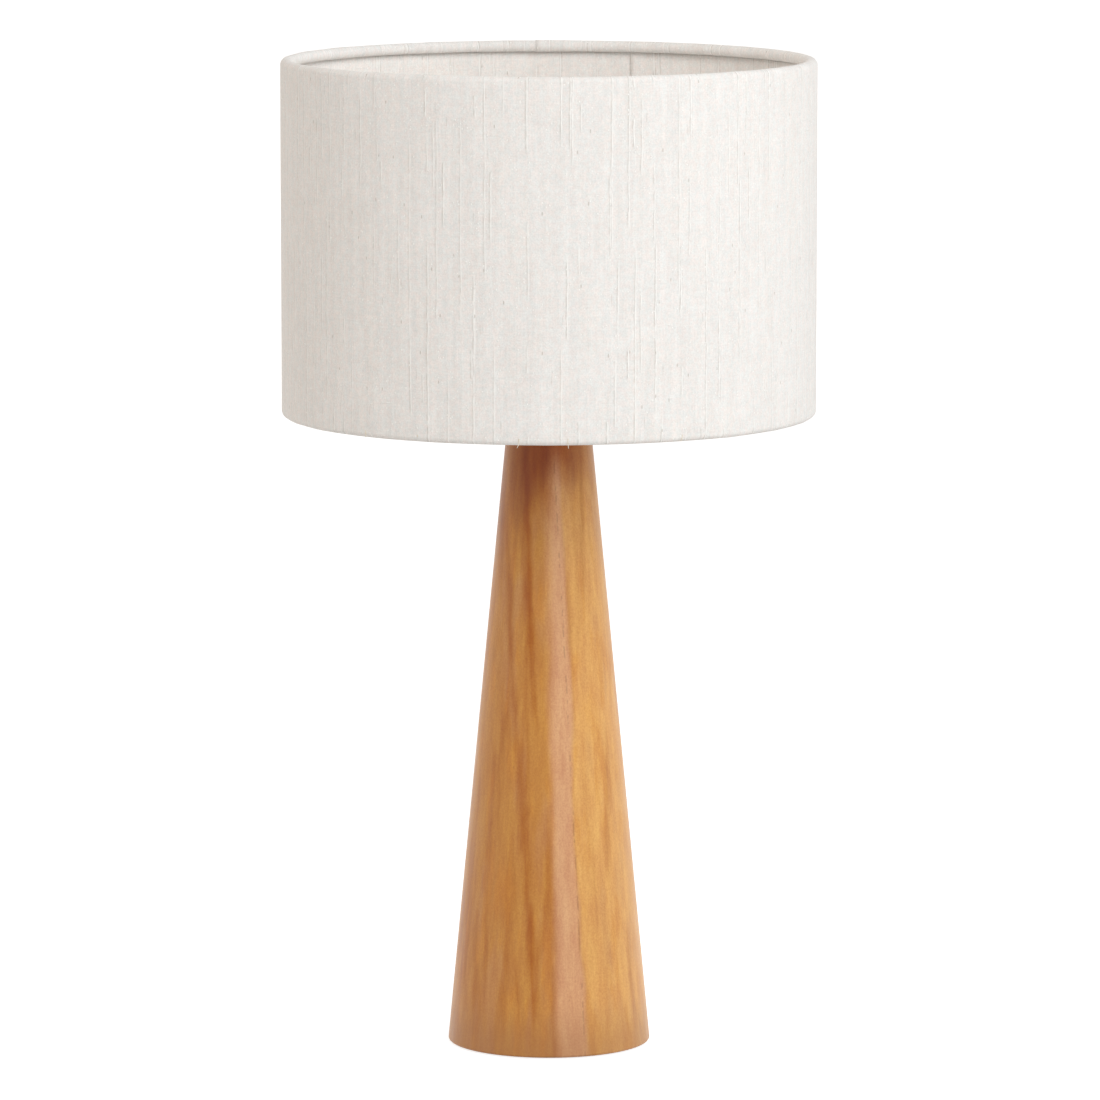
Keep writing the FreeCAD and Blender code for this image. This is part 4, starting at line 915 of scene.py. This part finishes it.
class LAMP_OT_bulb(bpy.types.Operator):
    """Rolls the thread on the bulb's shell and finishes the bulb"""

    bl_idname = "lamp.bulb"
    bl_label = "Bulb"
    bl_options = {"REGISTER", "UNDO"}

    def execute(self, context):
        settings = context.scene.lamp_holder
        crest, depth = BULB_SHELL.radius, settings.bulb_depth
        middle, swing = crest - depth / 2, depth / 2
        tooth = [(middle + swing * math.cos(math.tau * step / 12), step / 12) for step in range(12)]
        foot, neck = BULB_SHELL.low, BULB_SHELL.high
        mesh = bmesh.new()
        low_rim, high_rim = screw_surface(
            mesh, tooth, settings.bulb_pitch, foot + 3.4 * MM, neck - 3.0 * MM, THREAD_FACETS,
        )
        inside = (crest - BULB_TURN_IN, foot + BULB_TURN_IN)
        under = [(middle, foot + 2.8 * MM)]
        for angle in (0, -0.4, -0.8, -1.2, -math.pi / 2):
            reach = (BULB_TURN_IN - depth / 2) * math.cos(angle)
            under.append((inside[0] + reach, inside[1] + BULB_TURN_IN * math.sin(angle)))
        over = [
            (middle, neck - 2.4 * MM), (crest, neck - 1.9 * MM), (crest, neck),
            (crest - BULB_WALL - depth, neck),
        ]
        ends = carry(mesh, low_rim, under + [inside]) + carry(mesh, high_rim, over + [inside])
        weld_ends(mesh, ends, 0.1 * MM)
        place_piece("bulb_shell", mesh, finish_for("shell"), "bulb", ["bulb_cap"], 35)
        paint_nodes(finish_for("solder"), "bulb_tip")
        paint_nodes(finish_for("vitrite"), "bulb_insulator")
        paint_nodes(finish_for("housing"), "bulb_body")
        paint_nodes(finish_for("opal"), "bulb_dome")
        paint_nodes(board_finish(), "bulb_led_board")
        return {"FINISHED"}


# Column and foot

class LAMP_OT_column(bpy.types.Operator):
    """Stains and lacquers the column, and finishes the tube and washers in it"""

    bl_idname = "lamp.column"
    bl_label = "Column"
    bl_options = {"REGISTER", "UNDO"}

    def execute(self, context):
        settings = context.scene.lamp_wood
        wood = stained_wood(
            "Stained hardwood, satin lacquer", settings.left, settings.pale, settings.right,
            settings.streak, settings.gloss,
        )
        paint_nodes(wood, "column")
        paint_nodes(
            finish_for("zinc"), "column_tube", "tube_washer", "tube_nut", "top_washer", "base_cover_screws"
        )
        paint_nodes(finish_for("hardboard"), "base_cover")
        paint_nodes(finish_for("nylon"), "cable_bush")
        return {"FINISHED"}


class LAMP_OT_felt(bpy.types.Operator):
    """Presses the felt disc under the foot, with its cut edge a little fuzzy"""

    bl_idname = "lamp.felt"
    bl_label = "Felt foot"
    bl_options = {"REGISTER", "UNDO"}

    def execute(self, context):
        mesh = bmesh.new()
        disc = bmesh.ops.create_circle(
            mesh, cap_ends=True, segments=180, radius=FELT.radius - 0.3 * MM
        )["verts"]
        bmesh.ops.translate(mesh, verts=disc, vec=(0, 0, FELT.low))
        top = bmesh.ops.extrude_face_region(mesh, geom=mesh.faces[:])["geom"]
        raised = [part for part in top if isinstance(part, bmesh.types.BMVert)]
        bmesh.ops.translate(mesh, verts=raised, vec=(0, 0, FELT.high - FELT.low))
        bmesh.ops.recalc_face_normals(mesh, faces=mesh.faces[:])
        rims = [edge for edge in mesh.edges if len(edge.link_faces) == 2 and edge.calc_face_angle(0) > 1]
        bmesh.ops.bevel(
            mesh, geom=rims, offset=0.55 * MM, affect="EDGES", segments=3, profile=0.5, material=-1,
        )
        for vert in mesh.verts:
            out = Vector((vert.co.x, vert.co.y, 0)).normalized()
            vert.co += out * 0.25 * MM * noise.noise(vert.co * 700)
        caps = [face for face in mesh.faces if len(face.verts) > 8]
        bmesh.ops.poke(mesh, faces=caps)
        felt = place_piece("felt_disc", mesh, finish_for("felt"), "stand", ["base_pad"], 50)
        return {"FINISHED"}


# Stage

SENSOR = 36.0                           # millimetres wide
SOFTBOX = (1.1, 1.3)                    # width and height in metres
SOFTBOX_TURN = math.radians(25)         # to the camera's right
LIGHT_AIM = Vector((0, 0, 0.35))
# Tints of the light from the right and the left wall
RIGHT_WALL, LEFT_WALL = (1.01, 1.0, 0.985, 1), (1.09, 1.0, 0.915, 1)
WHITE = (1, 1, 1, 1)
FLOOR_GLOW = 0.82                       # brings the floor behind the lamp to the photograph's white
FLOOR_RADIUS = 40.0


def background_rays(tree):
    """1 for rays that show the background: camera, gloss and glass."""
    path = add(tree, "LightPath")
    seen = add(tree, "Math", path.outputs["Is Camera Ray"], path.outputs["Is Glossy Ray"], **LARGER)
    return add(tree, "Math", seen, path.outputs["Is Transmission Ray"], **LARGER)


class LAMP_OT_stage(bpy.types.Operator):
    """Sets the camera at the photograph's angle, two softboxes, pale walls and a pale floor"""

    bl_idname = "lamp.stage"
    bl_label = "Camera, light and floor"
    bl_options = {"REGISTER", "UNDO"}

    def execute(self, context):
        scene, settings = context.scene, context.scene.lamp_stage
        camera = bpy.data.objects.new("camera", bpy.data.cameras.new("camera"))
        scene.collection.objects.link(camera)
        camera.data.lens, camera.data.sensor_width = settings.lens, SENSOR
        camera.data.clip_start, camera.data.clip_end = 0.05, 200.0
        camera.location = (settings.aside, -settings.away, settings.height)
        camera.rotation_euler = (math.pi / 2 - settings.tilt, 0, 0)
        scene.camera = camera
        scene.view_settings.view_transform = "Standard"

        for name, away, height, power in (
            ("high_softbox", 2.2, 2.2, settings.key),
            ("low_softbox", 2.6, 1.3, settings.low),
        ):
            box = bpy.data.lights.new(name, "AREA")
            box.shape, (box.size, box.size_y), box.energy = "RECTANGLE", SOFTBOX, power
            lamp = bpy.data.objects.new(name, box)
            scene.collection.objects.link(lamp)
            lamp.location = Matrix.Rotation(SOFTBOX_TURN, 3, "Z") @ Vector((0, -away, height))
            lamp.rotation_euler = (LIGHT_AIM - lamp.location).to_track_quat("-Z", "Y").to_euler()
            lamp.visible_camera = False

        world = bpy.data.worlds.new("white room")
        scene.world = world
        world.use_nodes = True
        tree = world.node_tree
        tree.nodes.clear()
        way = add(tree, "SeparateXYZ", add(tree, "TexCoord").outputs["Generated"])
        backward = add(tree, "Math", way.outputs["Y"], 0.0, **LARGER)
        upward = add(tree, "Math", way.outputs["Z"], 0.0, **LARGER)
        level = settings.fill
        for reach, strength in (
            (way.outputs["X"], settings.walls), (backward, settings.behind), (upward, settings.ceiling),
        ):
            wide = add(tree, "Math", reach, reach, **TIMES)
            level = add(tree, "Math", wide, strength, level, **TIMES_PLUS)
        grey = add(tree, "CombineColor", level, level, level)
        left = add(tree, "MapRange", way.outputs["X"], 0.2, -0.2, **SMOOTH)
        tint = add(tree, "Mix", left, RIGHT_WALL, LEFT_WALL, **COLOURS)
        room = add(tree, "Mix", 1.0, grey, tint, **TINT)
        shown = add(tree, "Mix", background_rays(tree), room, WHITE, **COLOURS)
        add(tree, "OutputWorld", Surface=add(tree, "Background", shown, 1.0))

        mesh = bmesh.new()
        bmesh.ops.create_circle(mesh, cap_ends=True, segments=96, radius=FLOOR_RADIUS)
        data = bpy.data.meshes.new("floor")
        mesh.to_mesh(data)
        mesh.free()
        floor = bpy.data.objects.new("floor", data)
        scene.collection.objects.link(floor)
        paint, tree, shader = new_material(
            "Matt pale floor", 0.9, Specular_IOR_Level=0.0, Emission_Color=WHITE
        )
        behind = background_rays(tree)
        grain = mottle(tree, add(tree, "TexCoord").outputs["Object"], (30, 30, 30), 2.0)
        shown = add(tree, "Mix", grain, "#B9B9B8", "#BDBDBC", **COLOURS)
        shown = add(tree, "Mix", behind, "#E1E1E0", shown, **COLOURS)
        plug(tree, shader.inputs["Base Color"], shown)
        glow = add(tree, "Math", behind, FLOOR_GLOW, **TIMES)
        plug(tree, shader.inputs["Emission Strength"], glow)
        # From below, the floor lets the camera see through
        below = add(tree, "NewGeometry").outputs["Backfacing"]
        seen_through = add(tree, "MixShader", below, shader, add(tree, "BsdfTransparent"))
        out = next(node for node in tree.nodes if node.bl_idname == "ShaderNodeOutputMaterial")
        plug(tree, out.inputs["Surface"], seen_through)
        data.materials.append(paint)
        return {"FINISHED"}


class LAMP_PT_panel(bpy.types.Panel):
    """Lists the lamp's pieces and their settings"""

    bl_label = "Column table lamp"
    bl_idname = "LAMP_PT_panel"
    bl_space_type = "VIEW_3D"
    bl_region_type = "UI"
    bl_category = "Lamp"

    def draw(self, context):
        for group, kind in SETTINGS.items():
            box = self.layout.box()
            for name in kind.__annotations__:
                box.prop(getattr(context.scene, group), name)
        for operator in OPERATORS:
            self.layout.operator(operator.bl_idname)


SETTINGS = {
    "lamp_linen": LinenSettings,
    "lamp_wood": WoodSettings,
    "lamp_holder": HolderSettings,
    "lamp_stage": StageSettings,
}
OPERATORS = (
    LAMP_OT_stage, LAMP_OT_column, LAMP_OT_felt, LAMP_OT_lampholder, LAMP_OT_bulb,
    LAMP_OT_shade_frame, LAMP_OT_linen_lining, LAMP_OT_linen_cover, LAMP_OT_thread_ends,
)


def register():
    for group in SETTINGS.values():
        bpy.utils.register_class(group)
    for name, group in SETTINGS.items():
        setattr(bpy.types.Scene, name, PointerProperty(type=group))
    for operator in OPERATORS:
        bpy.utils.register_class(operator)
    bpy.utils.register_class(LAMP_PT_panel)


def unregister():
    bpy.utils.unregister_class(LAMP_PT_panel)
    for operator in reversed(OPERATORS):
        bpy.utils.unregister_class(operator)
    for name in SETTINGS:
        delattr(bpy.types.Scene, name)
    for group in SETTINGS.values():
        bpy.utils.unregister_class(group)


def main():
    register()
    for operator in OPERATORS:
        family, name = operator.bl_idname.split(".")
        getattr(getattr(bpy.ops, family), name)()


if __name__ == "__main__":
    main()
